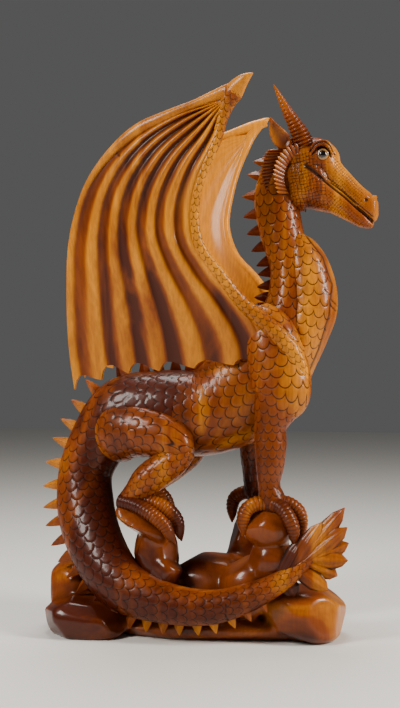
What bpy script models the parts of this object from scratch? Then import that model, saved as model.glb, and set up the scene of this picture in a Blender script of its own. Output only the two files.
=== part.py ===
"""A dragon carved from one block of hardwood, standing on rocks with raised wings and a coiled tail.

The whole figure is one piece of wood, so it is one solid. The carver's drawing runs from DRAWN_GROUND up to
DRAWN_TOP, and every station below is in its units: +X is towards the head, -Y is the near side, +Z is up.
"""

import math

import bmesh
import bpy
import numpy as np

HEIGHT = 1.0
DRAWN_TOP = 1010.0
DRAWN_GROUND = -8.0
UNIT = HEIGHT / (DRAWN_TOP - DRAWN_GROUND)

# Stations of a body are x, y, z, half its depth in its own plane, half its width across that plane.
SPINE = (
    (158, 0, 868, 32, 30),
    (146, 0, 812, 41, 38),
    (154, 0, 748, 41, 40),
    (173, 0, 672, 39, 44),
    (172, 0, 606, 47, 52),
    (142, 0, 522, 83, 66),
    (94, 0, 452, 93, 74),
    (18, 0, 405, 83, 78),
    (-72, 0, 402, 80, 75),
    (-146, 0, 396, 73, 66),
    (-196, -2, 346, 58, 54),
    (-221, -10, 288, 52, 48),
    (-217, -28, 228, 55, 46),
    (-187, -60, 155, 54, 45),
    (-128, -94, 89, 49, 43),
    (-47, -114, 63, 38, 38),
    (48, -120, 59, 31, 32),
    (133, -115, 88, 23, 25),
    (193, -105, 124, 15, 16),
    (240, -98, 168, 6, 6),
)
BREAST = (
    (177, 0, 770, 6, 12),
    (178, 0, 735, 17, 28),
    (193, 0, 703, 34, 40),
    (208, 0, 650, 46, 49),
    (212, 0, 600, 48, 53),
    (200, 0, 550, 43, 54),
    (181, 0, 488, 35, 48),
    (172, 0, 446, 30, 38),
)
SKULL = (
    (160, 0, 866, 14, 16),
    (176, 0, 872, 30, 32),
    (204, 0, 877, 40, 40),
    (230, 0, 871, 37, 38),
    (246, 0, 853, 26, 30),
    (266, 0, 834, 22, 26),
    (296, 0, 806, 19, 23),
    (313, 0, 792, 18, 22),
    (322, 0, 785, 12, 16),
)
CHEEK = (
    (167, 0, 830, 8, 10),
    (171, 0, 832, 32, 26),
    (178, 0, 834, 46, 35),
    (188, 0, 835, 56, 41),
    (204, 0, 836, 58, 44),
    (222, 0, 832, 46, 40),
    (238, 0, 826, 26, 32),
)
MUZZLE = (
    (292, 0, 802, 12, 19),
    (308, 0, 789, 20, 23),
    (322, 0, 782, 25, 22),
    (331, 0, 780, 22, 17),
    (335, 0, 780, 12, 9),
)
JAW = (
    (164, 0, 834, 16, 18),
    (184, 0, 830, 43, 38),
    (208, 0, 824, 45, 43),
    (232, 0, 812, 35, 38),
    (256, 0, 800, 28, 30),
    (292, 0, 774, 20, 22),
    (312, 0, 757, 13, 17),
    (325, 0, 749, 5, 8),
)
FRONT_LEG = (
    (118, -50, 592, 24, 22),
    (136, -58, 564, 42, 33),
    (151, -65, 518, 52, 38),
    (162, -68, 472, 55, 40),
    (163, -70, 436, 52, 39),
    (152, -71, 407, 38, 34),
    (145, -72, 384, 30, 31),
    (145, -74, 348, 29, 29),
    (144, -75, 312, 26, 27),
    (143, -77, 272, 20, 22),
    (149, -78, 244, 24, 24),
    (150, -78, 226, 16, 18),
)
THIGH = (
    (-185, -26, 356, 38, 26),
    (-160, -36, 362, 54, 38),
    (-116, -48, 370, 51, 44),
    (-82, -58, 367, 47, 42),
    (-50, -68, 359, 41, 38),
    (-25, -76, 348, 33, 32),
    (-8, -80, 339, 20, 22),
    (2, -81, 334, 6, 8),
)
SHANK = (
    (-4, -79, 336, 14, 17),
    (-26, -79, 320, 25, 26),
    (-60, -79, 298, 30, 29),
    (-84, -80, 280, 29, 28),
    (-106, -81, 258, 22, 24),
    (-130, -83, 239, 13, 18),
)
# The ridge in which each wing's arm runs on over the shoulder, in place of the arm's last stations.
SHOULDER = (
    (133, -97, 574, 15, 13),
    (160, -95, 549, 16, 14),
    (184, -90, 519, 17, 14),
    (198, -84, 490, 15, 12),
    (206, -78, 460, 9, 8),
)
HIND_TOES = (
    ((-132, -90, 242), (-104, -100, 237), (-68, -108, 220), (-44, -109, 200), (-33, -107, 180)),
    ((-116, -80, 246), (-82, -82, 242), (-46, -82, 228), (-27, -81, 208), (-22, -80, 184)),
    ((-118, -68, 243), (-84, -60, 239), (-54, -54, 227), (-36, -52, 208), (-32, -52, 184)),
)
FRONT_TOES = (
    ((140, -84, 244), (118, -90, 241), (103, -94, 230), (98, -95, 214), (98, -94, 198)),
    ((150, -88, 244), (170, -100, 235), (183, -107, 219), (190, -108, 202), (191, -105, 184)),
    ((156, -78, 246), (180, -76, 241), (196, -74, 227), (201, -73, 208), (201, -72, 190)),
    ((150, -66, 243), (170, -54, 236), (184, -48, 222), (190, -46, 204), (190, -46, 186)),
)
TOE_RADIUS = 13.5
TOE_RIBS = 3
CLAW_LENGTH = 15

HORN_PATH = ((201, -20, 897), (190, -24, 924), (169, -32, 963), (154, -38, 993), (146, -41, 1009))
HORN_RADIUS = 19
HORN_RINGS = 17
EAR = (
    (180, -25, 896, 7, 6),
    (161, -37, 908, 16, 8),
    (149, -48, 926, 11, 6),
    (142, -57, 946, 1, 1),
)
BROW = ((214, -33, 886, 4, 5), (226, -37, 899, 6, 6), (243, -36, 898, 6, 6), (254, -31, 880, 4, 5))
EYE_PLACE = (236, -32, 879)
EYE_RADIUS = 11
NOSTRIL_PLACE = (309, -15, 799)
NOSTRIL_RADIUS = 11
FRILL_RIBS = 6
FRILL_WALL = 11
FRILL_PLEAT = 3
FRILL_TOOTH = 0.2
# Two tiers, each from its root along the cheek to its tips.
FRILL_TIERS = (
    (
        (
            (194, -34, 884),
            (181, -32, 875),
            (170, -30, 859),
            (166, -29, 841),
            (168, -30, 822),
            (174, -30, 808),
        ),
        (
            (190, -43, 901),
            (170, -46, 893),
            (155, -47, 877),
            (147, -47, 855),
            (147, -46, 831),
            (153, -43, 807),
        ),
    ),
    (
        (
            (164, -27, 892),
            (155, -28, 879),
            (149, -28, 864),
            (147, -28, 846),
            (147, -28, 831),
            (151, -27, 816),
        ),
        (
            (135, -36, 891),
            (124, -38, 877),
            (122, -39, 860),
            (120, -39, 844),
            (124, -38, 829),
            (133, -36, 810),
        ),
    ),
)

# The wing's arm starts at the claw's tip, and the web hangs between the arm and the rim.
ARM = (
    (131, -197, 997, 1, 1),
    (119, -193, 991, 8, 7),
    (108, -188, 983, 13, 9),
    (96, -182, 970, 17, 10),
    (84, -176, 953, 14, 9),
    (73, -170, 926, 10, 8),
    (63, -165, 892, 9, 8),
    (31, -155, 822, 8, 8),
    (18, -143, 756, 9, 9),
    (24, -135, 711, 10, 10),
    (62, -120, 653, 11, 11),
    (104, -101, 599, 13, 13),
    (131, -84, 545, 15, 15),
    (138, -72, 480, 15, 15),
)
FAR_ARM = (
    (106, 190, 991, 1, 1),
    (99, 187, 986, 6, 5),
    (89, 182, 978, 9, 7),
    (80, 179, 968, 10, 8),
    (69, 174, 950, 10, 8),
    (60, 169, 927, 9, 8),
    (50, 165, 901, 8, 8),
    (31, 153, 832, 8, 8),
    (24, 143, 766, 9, 9),
    (42, 133, 711, 10, 10),
    (88, 118, 658, 11, 11),
    (121, 101, 604, 13, 13),
    (134, 84, 550, 15, 15),
    (140, 72, 485, 15, 15),
)
RIM = (
    (70, -174, 955),
    (-30, -162, 940),
    (-110, -147, 905),
    (-178, -127, 841),
    (-222, -102, 745),
    (-239, -74, 615),
    (-240, -55, 521),
    (-233, -43, 445),
)
# The bone along the top of the rim, from the claw.
RIM_BONE = (
    (104, -185, 981, 9, 7),
    (77, -177, 971, 11, 8),
    (47, -172, 961, 9, 8),
    (18, -168, 951, 8, 8),
    (-9, -165, 942, 9, 8),
    (-38, -161, 932, 10, 8),
    (-72, -154, 920, 11, 8),
    (-99, -149, 905, 11, 8),
    (-127, -142, 885, 9, 7),
    (-160, -132, 854, 7, 6),
    (-196, -117, 800, 5, 5),
    (-222, -101, 738, 3, 4),
)
WEB_FROM = 0.12
ARM_STATIONS_TO_SHOULDER = 12
WEB_WALL = 13
WEB_WALL_AT_RIM = 10
# Where the web's crests run, from the rim at 0 to the arm at 1, over its upper half and along its lower edge.
CRESTS_ABOVE = (0.0, 0.17, 0.32, 0.47, 0.62, 0.77, 0.94, 1.0)
CRESTS_BELOW = (0.0, 0.15, 0.3, 0.46, 0.64, 0.84, 0.98, 1.0)
CRESTS_SPREAD_FROM = 0.5
FLUTE_DEPTH = 9
# The lower edge rises away from the rim's end, with a notch at each scoop, on a web this long.
EDGE_RISE = 17
SCALLOP = 19
EDGE_DRAWN_ON = 520
WEB_BULGE = 16
WEB_ROWS = 10
CUTS_PER_FLUTE = 2
ARM_RINGS = 18
BONE_RINGS = 11
ARM_SIDES = 6
WEB_FILLET = 5
FAR_RIM_SHIFT = (-4, 1)
FAR_WEB_REACH = 0.97
FAR_FRONT_LEG_SHIFT = -52
FAR_SHOULDER_SHIFT = -16
FAR_HIND_LEG_SHIFT = -5
FAR_HIND_HEEL = -118
FAR_HIND_REACH = 0.45

SPIKE_PITCH = 28.5
SPIKE_LENGTHS = ((0.0, 24), (0.3, 26), (0.45, 31), (0.62, 31), (0.72, 26), (0.8, 19), (0.92, 14), (1.0, 9))
SPIKES_FROM_NAPE = 3
SPIKES_TO_TIP = 140
SPIKE_ROOT = 7
SPIKE_BASE = 0.42

# A leaf of the tail fin: x and z of its tip, and the share of the fin's root where it grows.
FIN_LEAVES = (
    (212, 190, 0.0),
    (240, 214, 0.25),
    (281, 240, 0.5),
    (286, 206, 0.65),
    (288, 177, 0.8),
    (287, 147, 0.9),
    (268, 118, 0.8),
    (252, 94, 0.5),
    (192, 79, 0.1),
)
FIN_ROOT = ((168, -108, 110), (222, -100, 152))
LEAF_WIDTH = 21
LEAF_WALL = 8

# A rock is its centre, its three half sizes, its lean in degrees, and how square it is: 2 is an egg.
ROUND_ROCKS = (
    (-200, -72, 20, 84, 70, 44, 0, 2.8),
    (-242, 4, 66, 54, 70, 54, 0, 2.3),
    (0, -30, 8, 200, 76, 32, 0, 3.5),
    (198, -30, 38, 80, 86, 54, 5, 2.7),
    (138, 40, 14, 100, 90, 62, 0, 2.4),
    (142, -72, 196, 47, 46, 37, -6, 2.2),
    (146, -68, 138, 42, 44, 44, 0, 2.2),
    (26, 6, 60, 104, 84, 76, 3, 2.3),
)
FACETED_ROCKS = (
    (-112, 30, 18, 124, 98, 62, 0, 2.4),
    (-92, -86, 200, 56, 34, 22, 32, 2.3),
    (-70, -64, 138, 42, 46, 70, 0, 2.5),
    (-50, -84, 108, 34, 34, 34, 0, 2.3),
    (-98, 64, 128, 38, 46, 108, 0, 2.4),
    (116, -50, 84, 66, 60, 60, 0, 2.3),
    (92, 76, 140, 54, 48, 96, 0, 2.3),
)
ROCK_FACETS = 16
ROUND_CUT = (0.9, 1.0)
FACETED_CUT = (0.72, 0.96)
SPINE_RINGS = 42
SPINE_SIDES = 13

# The union leaves slivers along its seams, so the flattest facets are thinned out after it.
FACETS_KEPT = 0.63

WOOD_COLOUR = (0.36, 0.12, 0.03)
WOOD_ROUGHNESS = 0.3


def smooth(stations, count):
    """Rows spread evenly along a smooth curve through the stations, with every column carried along."""
    knots = np.array(stations, dtype=float)
    steps = np.linalg.norm(np.diff(knots[:, :3], axis=0), axis=1)
    reach = np.concatenate([[0.0], np.cumsum(steps)])
    slopes = np.gradient(knots, reach, axis=0)
    at = np.linspace(0.0, reach[-1], count)
    left = np.clip(np.searchsorted(reach, at, side="right") - 1, 0, len(reach) - 2)
    gap = (reach[left + 1] - reach[left])[:, None]
    u = (at - reach[left])[:, None] / gap
    start = (2 * u**3 - 3 * u**2 + 1) * knots[left] + (u**3 - 2 * u**2 + u) * gap * slopes[left]
    end = (3 * u**2 - 2 * u**3) * knots[left + 1] + (u**3 - u**2) * gap * slopes[left + 1]
    return start + end


def unit(vectors):
    return vectors / np.linalg.norm(vectors, axis=-1, keepdims=True)


def axes_along(centre, across=(0.0, 1.0, 0.0)):
    """For each point of a path: ahead, the direction across the plane, and the direction in the plane."""
    ahead = unit(np.gradient(centre, axis=0))
    across = np.array(across)
    side = unit(across - (ahead @ across)[:, None] * ahead)
    return ahead, side, np.cross(ahead, side)


def rings_to_body(rings, first, last):
    """A closed body from rings of points, with a point to close each end."""
    rows, sides = rings.shape[:2]
    points = np.concatenate([rings.reshape(-1, 3), [first, last]])
    faces = []
    for row in range(rows - 1):
        for k in range(sides):
            a, b = row * sides + k, row * sides + (k + 1) % sides
            faces.append((a, b, b + sides, a + sides))
    for k in range(sides):
        faces.append(((k + 1) % sides, k, rows * sides))
        end = (rows - 1) * sides
        faces.append((end + k, end + (k + 1) % sides, rows * sides + 1))
    return points, faces


def loft(stations, rows, sides, swell=None):
    """An oval body along a smooth path. swell scales its radii, row by row."""
    path = smooth(stations, rows)
    centre = path[:, :3]
    radii = np.maximum(path[:, 3:5], 0.8)
    if swell is not None:
        radii = radii * np.array(swell)[:, None]
    _, side, inner = axes_along(centre)
    angle = np.arange(sides) * 2 * math.pi / sides
    rings = (
        centre[:, None]
        + radii[:, 0, None, None] * np.cos(angle)[None, :, None] * inner[:, None]
        + radii[:, 1, None, None] * np.sin(angle)[None, :, None] * side[:, None]
    )
    return rings_to_body(rings, centre[0], centre[-1])


def mirrored(stations, shift=0.0, lift=0.0):
    """The same stations on the far side, moved along and up."""
    flip = []
    for x, y, z, *rest in stations:
        flip.append((x + shift, -y, z + lift, *rest))
    return flip


def shortened(points):
    """A toe of the far hind foot, which drops steeply over the edge of its rock."""
    return [(FAR_HIND_HEEL + (x - FAR_HIND_HEEL) * FAR_HIND_REACH, -y, z) for x, y, z in points]


def toe(points):
    """A ribbed toe that ends in a claw."""
    path = np.array(points, dtype=float)
    tip = path[-1] + unit(path[-1] - path[-2]) * CLAW_LENGTH
    radii = np.array((1.05, 1.0, 1.0, 0.9, 0.62, 0.1)) * TOE_RADIUS
    stations = [(*p, r, r) for p, r in zip([*path, tip], radii)]
    rows = 2 * TOE_RIBS + 4
    swell = np.ones(rows)
    swell[1 : 2 * TOE_RIBS : 2] = 0.84
    return loft(stations, rows, 6, swell)


def horn(points):
    radii = np.linspace(1.0, 0.04, len(points)) ** 0.9 * HORN_RADIUS
    stations = [(*p, r, r) for p, r in zip(points, radii)]
    rows = 2 * HORN_RINGS + 1
    swell = np.where(np.arange(rows) % 2 == 0, 1.06, 0.86)
    return loft(stations, rows, 6, swell)


def ball(place, radius, squash=1.0):
    x, y, z = place
    turn = np.linspace(0.12, 0.88, 5) * math.pi
    stations = []
    for t in turn:
        ring = radius * math.sin(t)
        stations.append((x - radius * math.cos(t), y, z, ring, ring * squash))
    return loft(stations, 5, 7)


def rock(x, y, z, a, b, c, lean, square, seed, cut):
    """A lump with flat facets, cut off flat where it meets the ground. cut is how deep the facets go."""
    facets = np.random.default_rng(seed)
    shape = bmesh.new()
    bmesh.ops.create_icosphere(shape, subdivisions=2, radius=1.0)
    points = np.array([v.co[:] for v in shape.verts])
    faces = [tuple(v.index for v in face.verts) for face in shape.faces]
    shape.free()
    points = points / (np.abs(points) ** square).sum(axis=1, keepdims=True) ** (1 / square)
    for direction, limit in zip(
        unit(facets.normal(size=(ROCK_FACETS, 3))), facets.uniform(*cut, ROCK_FACETS)
    ):
        over = np.maximum(points @ direction - limit, 0.0)
        points = points - over[:, None] * direction
    points = points * (a, b, c)
    turn = math.radians(lean)
    ahead = points[:, 0] * math.cos(turn) + points[:, 2] * math.sin(turn)
    points[:, 2] = points[:, 2] * math.cos(turn) - points[:, 0] * math.sin(turn)
    points[:, 0] = ahead
    points = points + (x, y, z)
    points[:, 2] = np.maximum(points[:, 2], DRAWN_GROUND)
    return points, faces


def slab(outer, inner):
    """A closed body between two grids of points."""
    rows, columns = outer.shape[:2]
    points = np.concatenate([outer.reshape(-1, 3), inner.reshape(-1, 3)])
    half = rows * columns
    faces = []
    for i in range(rows - 1):
        for j in range(columns - 1):
            a = i * columns + j
            quad = (a, a + 1, a + 1 + columns, a + columns)
            faces += [quad, tuple(half + v for v in reversed(quad))]
    border = list(range(columns))
    border += [i * columns + columns - 1 for i in range(1, rows)]
    border += [(rows - 1) * columns + j for j in range(columns - 2, -1, -1)]
    border += [i * columns for i in range(rows - 2, 0, -1)]
    for a, b in zip(border, border[1:] + border[:1]):
        faces.append((b, a, half + a, half + b))
    return points, faces


def frill(root, tip):
    """A pleated fan between two arcs, with a point at the end of each rib."""
    columns = 2 * FRILL_RIBS + 1
    rib = np.arange(columns) % 2
    out = np.array((0.0, 0.6, 1.0))[:, None]
    reach = (out * (1 - FRILL_TOOTH * (1 - rib) * out))[..., None]
    skin = smooth(root, columns)[None] * (1 - reach) + smooth(tip, columns)[None] * reach
    near = np.array((0.0, math.copysign(1.0, root[0][1]), 0.0))
    wall = FRILL_WALL * (1 - 0.55 * out)
    pleat = FRILL_PLEAT * rib * (0.4 + 0.6 * out)
    outer = skin + (wall / 2 + pleat)[..., None] * near
    inner = skin - (wall / 2 + 0 * pleat)[..., None] * near
    return slab(outer, inner)


def step_up(x, low, high):
    """0 below low, 1 above high, and smooth between."""
    t = np.clip((x - low) / (high - low), 0.0, 1.0)
    return t * t * (3 - 2 * t)


def web(arm_stations, rim_stations, rows, per_flute, share=1.0):
    """The wing's web: scooped between its crests outside, smooth inside, with points along its lower edge.

    share is how much of its length to make.
    """
    flutes = len(CRESTS_ABOVE) - 1
    q = np.linspace(0, flutes, flutes * per_flute + 1)
    arm = smooth(arm_stations, 400)[int(WEB_FROM * 400):, :3]
    rim = smooth(rim_stations, 400)[:, :3]
    near = -1.0 if arm[0, 1] < 0 else 1.0
    s = np.linspace(0, 1, rows)[:, None]
    above, below = (np.interp(q, np.arange(flutes + 1), crests) for crests in (CRESTS_ABOVE, CRESTS_BELOW))
    t = above + (below - above) * step_up(s, CRESTS_SPREAD_FROM, 1.0)
    scooped = np.sin(math.pi * (q % 1.0))
    notch = scooped**0.8 * (1 - 0.5 * below)
    short = (EDGE_RISE * step_up(below, 0.0, 0.25) + SCALLOP * notch) / EDGE_DRAWN_ON
    reach = share * s * (1 - short[None, :] * s**3)

    def along(path, places):
        at = np.linspace(0, 1, len(path))
        return np.stack([np.interp(places, at, path[:, k]) for k in range(3)], axis=-1)

    skin = along(rim, reach) * (1 - t)[..., None] + along(arm, reach) * t[..., None]
    skin[..., 1] += near * WEB_BULGE * np.sin(math.pi * t) * np.sin(math.pi * reach)
    outwards = np.array((0.0, near, 0.0))
    wall = WEB_WALL_AT_RIM + (WEB_WALL - WEB_WALL_AT_RIM) * t
    scoop = FLUTE_DEPTH * scooped[None, :] * np.clip(s * 7, 0, 1)
    outer = skin + (wall / 2 - scoop * wall / WEB_WALL)[..., None] * outwards
    inner = skin - (wall / 2 + WEB_FILLET * t**8)[..., None] * outwards
    return slab(outer, inner)


def spikes():
    """Pointed spikes down the back, from the nape to the tail fin."""
    path = smooth(SPINE, 600)
    centre = path[:, :3]
    ahead, side, inner = axes_along(centre)
    length = np.linalg.norm(np.diff(centre, axis=0), axis=1).sum()
    made = []
    for reach in np.arange(SPIKES_FROM_NAPE, length - SPIKES_TO_TIP, SPIKE_PITCH):
        k = int(reach / length * (len(path) - 1))
        tall = np.interp(reach / length, *zip(*SPIKE_LENGTHS))
        half = SPIKE_PITCH * SPIKE_BASE * min(1.0, tall / 20)
        root = centre[k] - inner[k] * (path[k, 3] - SPIKE_ROOT)
        tip = centre[k] - inner[k] * (path[k, 3] + tall) + ahead[k] * tall * 0.12
        along = ahead[k] * half
        across = side[k] * half * 0.6
        base = [root - along, root + across, root + along, root - across]
        made.append((np.array(base + [tip]), [(0, 1, 2, 3), (1, 0, 4), (2, 1, 4), (3, 2, 4), (0, 3, 4)]))
    return made


def fin():
    """Pointed leaves that fan out round the end of the tail."""
    first, last = np.array(FIN_ROOT, dtype=float)
    made = []
    for i, (x, z, share) in enumerate(FIN_LEAVES):
        root = first + (last - first) * share
        tip = np.array((x, root[1] + 4 - 2 * (i % 2), z))
        middle = root + (tip - root) * 0.55
        stations = [
            (*root, LEAF_WIDTH * 0.7, LEAF_WALL),
            (*middle, LEAF_WIDTH, LEAF_WALL),
            (*tip, 1.2, 1.2),
        ]
        made.append(loft(stations, 4, 6))
    return made


def one_side(flip):
    """The legs, feet and head parts of the near side, or of the far side where flip says so."""
    def turn(stations, shift=0.0):
        return mirrored(stations, shift) if flip else stations

    made = [
        loft(turn(FRONT_LEG, FAR_FRONT_LEG_SHIFT), 12, 9),
        loft(turn(THIGH, FAR_HIND_LEG_SHIFT), 8, 9),
        loft(turn(SHANK, FAR_HIND_LEG_SHIFT), 7, 8),
        horn(turn(HORN_PATH)),
        loft(turn(EAR), 5, 6),
        loft(turn(BROW), 5, 5),
        ball(turn([EYE_PLACE])[0], EYE_RADIUS),
        ball(turn([NOSTRIL_PLACE])[0], NOSTRIL_RADIUS, 0.8),
    ]
    for root, tip in FRILL_TIERS:
        made.append(frill(turn(root), turn(tip)))
    for points in HIND_TOES:
        made.append(toe(shortened(points) if flip else points))
    for points in FRONT_TOES:
        made.append(toe(turn(points, FAR_FRONT_LEG_SHIFT)))
    arm = FAR_ARM if flip else ARM
    rim = mirrored(RIM, *FAR_RIM_SHIFT) if flip else RIM
    bone = mirrored(RIM_BONE, *FAR_RIM_SHIFT) if flip else RIM_BONE
    over_shoulder = (*arm[:ARM_STATIONS_TO_SHOULDER], *turn(SHOULDER, FAR_SHOULDER_SHIFT))
    made += [loft(over_shoulder, ARM_RINGS, ARM_SIDES), loft(bone, BONE_RINGS, ARM_SIDES)]
    made.append(web(arm, rim, WEB_ROWS, CUTS_PER_FLUTE, FAR_WEB_REACH if flip else 1.0))
    return made


def mesh_object(name, body, collection):
    points, faces = body
    mesh = bpy.data.meshes.new(name)
    mesh.from_pydata([tuple(p) for p in (np.asarray(points) - (0.0, 0.0, DRAWN_GROUND)) * UNIT], [], faces)
    shape = bmesh.new()
    shape.from_mesh(mesh)
    bmesh.ops.dissolve_degenerate(shape, edges=shape.edges, dist=1e-6)
    bmesh.ops.recalc_face_normals(shape, faces=shape.faces)
    bmesh.ops.triangulate(shape, faces=shape.faces)
    shape.to_mesh(mesh)
    shape.free()
    made = bpy.data.objects.new(name, mesh)
    collection.objects.link(made)
    return made


def wood():
    material = bpy.data.materials.new("carved_wood")
    material.use_nodes = True
    shader = material.node_tree.nodes["Principled BSDF"]
    shader.inputs["Base Color"].default_value = (*WOOD_COLOUR, 1.0)
    shader.inputs["Roughness"].default_value = WOOD_ROUGHNESS
    shader.inputs["Metallic"].default_value = 0.0
    return material


def clear_scene():
    for old in list(bpy.data.objects):
        bpy.data.objects.remove(old)


def main():
    clear_scene()
    shapes = bpy.data.collections.new("shapes")
    bpy.context.scene.collection.children.link(shapes)
    bodies = [loft(BREAST, 11, 12), loft(SKULL, 10, 12), loft(CHEEK, 7, 10)]
    bodies += [loft(MUZZLE, 6, 10), loft(JAW, 9, 10)]
    bodies += one_side(False) + one_side(True) + spikes() + fin()
    bodies += [rock(*lump, seed, ROUND_CUT) for seed, lump in enumerate(ROUND_ROCKS)]
    bodies += [rock(*lump, seed, FACETED_CUT) for seed, lump in enumerate(FACETED_ROCKS, len(ROUND_ROCKS))]
    for i, body in enumerate(bodies):
        shape = mesh_object(f"shape_{i:03d}", body, shapes)
        shape.hide_render = True
        shape.display_type = "WIRE"
    trunk = loft(SPINE, SPINE_RINGS, SPINE_SIDES)
    carving = mesh_object("dragon_carving", trunk, bpy.context.scene.collection)
    carving.data.materials.append(wood())
    union = carving.modifiers.new("union", "BOOLEAN")
    union.operation = "UNION"
    union.operand_type = "COLLECTION"
    union.collection = shapes
    union.solver = "EXACT"
    thin = carving.modifiers.new("thin", "DECIMATE")
    thin.decimate_type = "COLLAPSE"
    thin.ratio = FACETS_KEPT
    thin.use_collapse_triangulate = True


main()
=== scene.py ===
"""The finished dragon carving: varnished hardwood with scales, fluted wings, ribbed toes and a rock base.

Every place below is in the carver's drawn units, as in the CAD model: +X is towards the head, -Y is the near
side, +Z is up, and the horns' tips stand DRAWN_HEIGHT above the ground. The frame's own box gives their size.
"""

import math
from collections import namedtuple

import bmesh
import bpy
import numpy as np
from mathutils import Matrix, Vector


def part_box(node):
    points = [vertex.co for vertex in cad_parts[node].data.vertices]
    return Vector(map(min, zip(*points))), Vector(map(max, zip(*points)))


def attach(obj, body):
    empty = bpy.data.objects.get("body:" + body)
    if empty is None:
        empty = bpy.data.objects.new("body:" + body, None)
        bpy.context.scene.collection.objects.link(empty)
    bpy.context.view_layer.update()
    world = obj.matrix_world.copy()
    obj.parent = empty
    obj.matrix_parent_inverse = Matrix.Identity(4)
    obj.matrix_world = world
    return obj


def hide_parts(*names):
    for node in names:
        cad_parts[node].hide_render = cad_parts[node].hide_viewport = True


bl_info = {
    "name": "Carved dragon",
    "version": (1, 0, 0),
    "blender": (4, 5, 0),
    "location": "View3D > Sidebar > Dragon",
    "description": "Carves and varnishes a wooden dragon on its rock base",
    "category": "Object",
}

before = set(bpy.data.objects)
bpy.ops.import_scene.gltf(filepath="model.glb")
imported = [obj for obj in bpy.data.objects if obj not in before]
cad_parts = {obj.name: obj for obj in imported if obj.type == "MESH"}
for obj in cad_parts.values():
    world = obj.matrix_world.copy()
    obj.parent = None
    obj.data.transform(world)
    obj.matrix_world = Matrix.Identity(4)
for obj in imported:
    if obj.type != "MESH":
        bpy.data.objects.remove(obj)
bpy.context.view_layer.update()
NODE = "dragon_carving"
BODY = "root"
LOWEST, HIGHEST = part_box(NODE)
DRAWN_HEIGHT = 1017.5
DRAWN_GROUND = -8.0
UNIT = (HIGHEST.z - LOWEST.z) / DRAWN_HEIGHT

# Stations of a body are x, y, z, half its depth in its own plane, half its width across that plane.
SPINE = (
    (158, 0, 868, 32, 30), (146, 0, 812, 41, 38), (154, 0, 748, 41, 40), (173, 0, 672, 39, 44),
    (172, 0, 606, 47, 52), (142, 0, 522, 83, 66), (94, 0, 452, 93, 74), (18, 0, 405, 83, 78),
    (-72, 0, 402, 80, 75), (-146, 0, 396, 73, 66), (-196, -2, 346, 58, 54), (-221, -10, 288, 52, 48),
    (-217, -28, 228, 55, 46), (-187, -60, 155, 54, 45), (-128, -94, 89, 49, 43), (-47, -114, 63, 38, 38),
    (48, -120, 59, 31, 32), (133, -115, 88, 23, 25), (193, -105, 124, 15, 16), (240, -98, 168, 6, 6),
)
TAIL_STARTS = 0.395
BREAST = (
    (177, 0, 770, 6, 12), (178, 0, 735, 17, 28), (193, 0, 703, 34, 40), (208, 0, 650, 46, 49),
    (212, 0, 600, 48, 53), (200, 0, 550, 43, 54), (181, 0, 488, 35, 48), (172, 0, 446, 30, 38),
)
SKULL = (
    (160, 0, 866, 14, 16), (176, 0, 872, 30, 32), (204, 0, 877, 40, 40), (230, 0, 871, 37, 38),
    (246, 0, 853, 26, 30), (266, 0, 834, 22, 26), (296, 0, 806, 19, 23), (313, 0, 792, 18, 22),
    (322, 0, 785, 12, 16),
)
CHEEK = (
    (167, 0, 830, 8, 10), (171, 0, 832, 32, 26), (178, 0, 834, 46, 35), (188, 0, 835, 56, 41),
    (204, 0, 836, 58, 44), (222, 0, 832, 46, 40), (238, 0, 826, 26, 32),
)
MUZZLE = (
    (292, 0, 802, 12, 19), (308, 0, 789, 20, 23), (322, 0, 782, 25, 22), (331, 0, 780, 22, 17),
    (335, 0, 780, 12, 9),
)
JAW = (
    (164, 0, 834, 16, 18), (184, 0, 830, 43, 38), (208, 0, 824, 45, 43), (232, 0, 812, 35, 38),
    (256, 0, 800, 28, 30), (292, 0, 774, 20, 22), (312, 0, 757, 13, 17), (325, 0, 749, 5, 8),
)
FRONT_LEG = (
    (118, -50, 592, 24, 22), (136, -58, 564, 42, 33), (151, -65, 518, 52, 38), (162, -68, 472, 55, 40),
    (163, -70, 436, 52, 39), (152, -71, 407, 38, 34), (145, -72, 384, 30, 31), (145, -74, 348, 29, 29),
    (144, -75, 312, 26, 27), (143, -77, 272, 20, 22), (149, -78, 244, 24, 24), (150, -78, 226, 16, 18),
)
THIGH = (
    (-185, -26, 356, 38, 26), (-160, -36, 362, 54, 38), (-116, -48, 370, 51, 44), (-82, -58, 367, 47, 42),
    (-50, -68, 359, 41, 38), (-25, -76, 348, 33, 32), (-8, -80, 339, 20, 22), (2, -81, 334, 6, 8),
)
SHANK = (
    (-4, -79, 336, 14, 17), (-26, -79, 320, 25, 26), (-60, -79, 298, 30, 29), (-84, -80, 280, 29, 28),
    (-106, -81, 258, 22, 24), (-130, -83, 239, 13, 18),
)
# The ridge in which each wing's arm runs on over the shoulder, in place of the arm's last stations.
SHOULDER = (
    (133, -97, 574, 15, 13), (160, -95, 549, 16, 14), (184, -90, 519, 17, 14), (198, -84, 490, 15, 12),
    (206, -78, 460, 9, 8),
)
HIND_TOES = (
    ((-132, -90, 242), (-104, -100, 237), (-68, -108, 220), (-44, -109, 200), (-33, -107, 180)),
    ((-116, -80, 246), (-82, -82, 242), (-46, -82, 228), (-27, -81, 208), (-22, -80, 184)),
    ((-118, -68, 243), (-84, -60, 239), (-54, -54, 227), (-36, -52, 208), (-32, -52, 184)),
)
FRONT_TOES = (
    ((140, -84, 244), (118, -90, 241), (103, -94, 230), (98, -95, 214), (98, -94, 198)),
    ((150, -88, 244), (170, -100, 235), (183, -107, 219), (190, -108, 202), (191, -105, 184)),
    ((156, -78, 246), (180, -76, 241), (196, -74, 227), (201, -73, 208), (201, -72, 190)),
    ((150, -66, 243), (170, -54, 236), (184, -48, 222), (190, -46, 204), (190, -46, 186)),
)
TOE_RADIUS = 13.5
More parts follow.
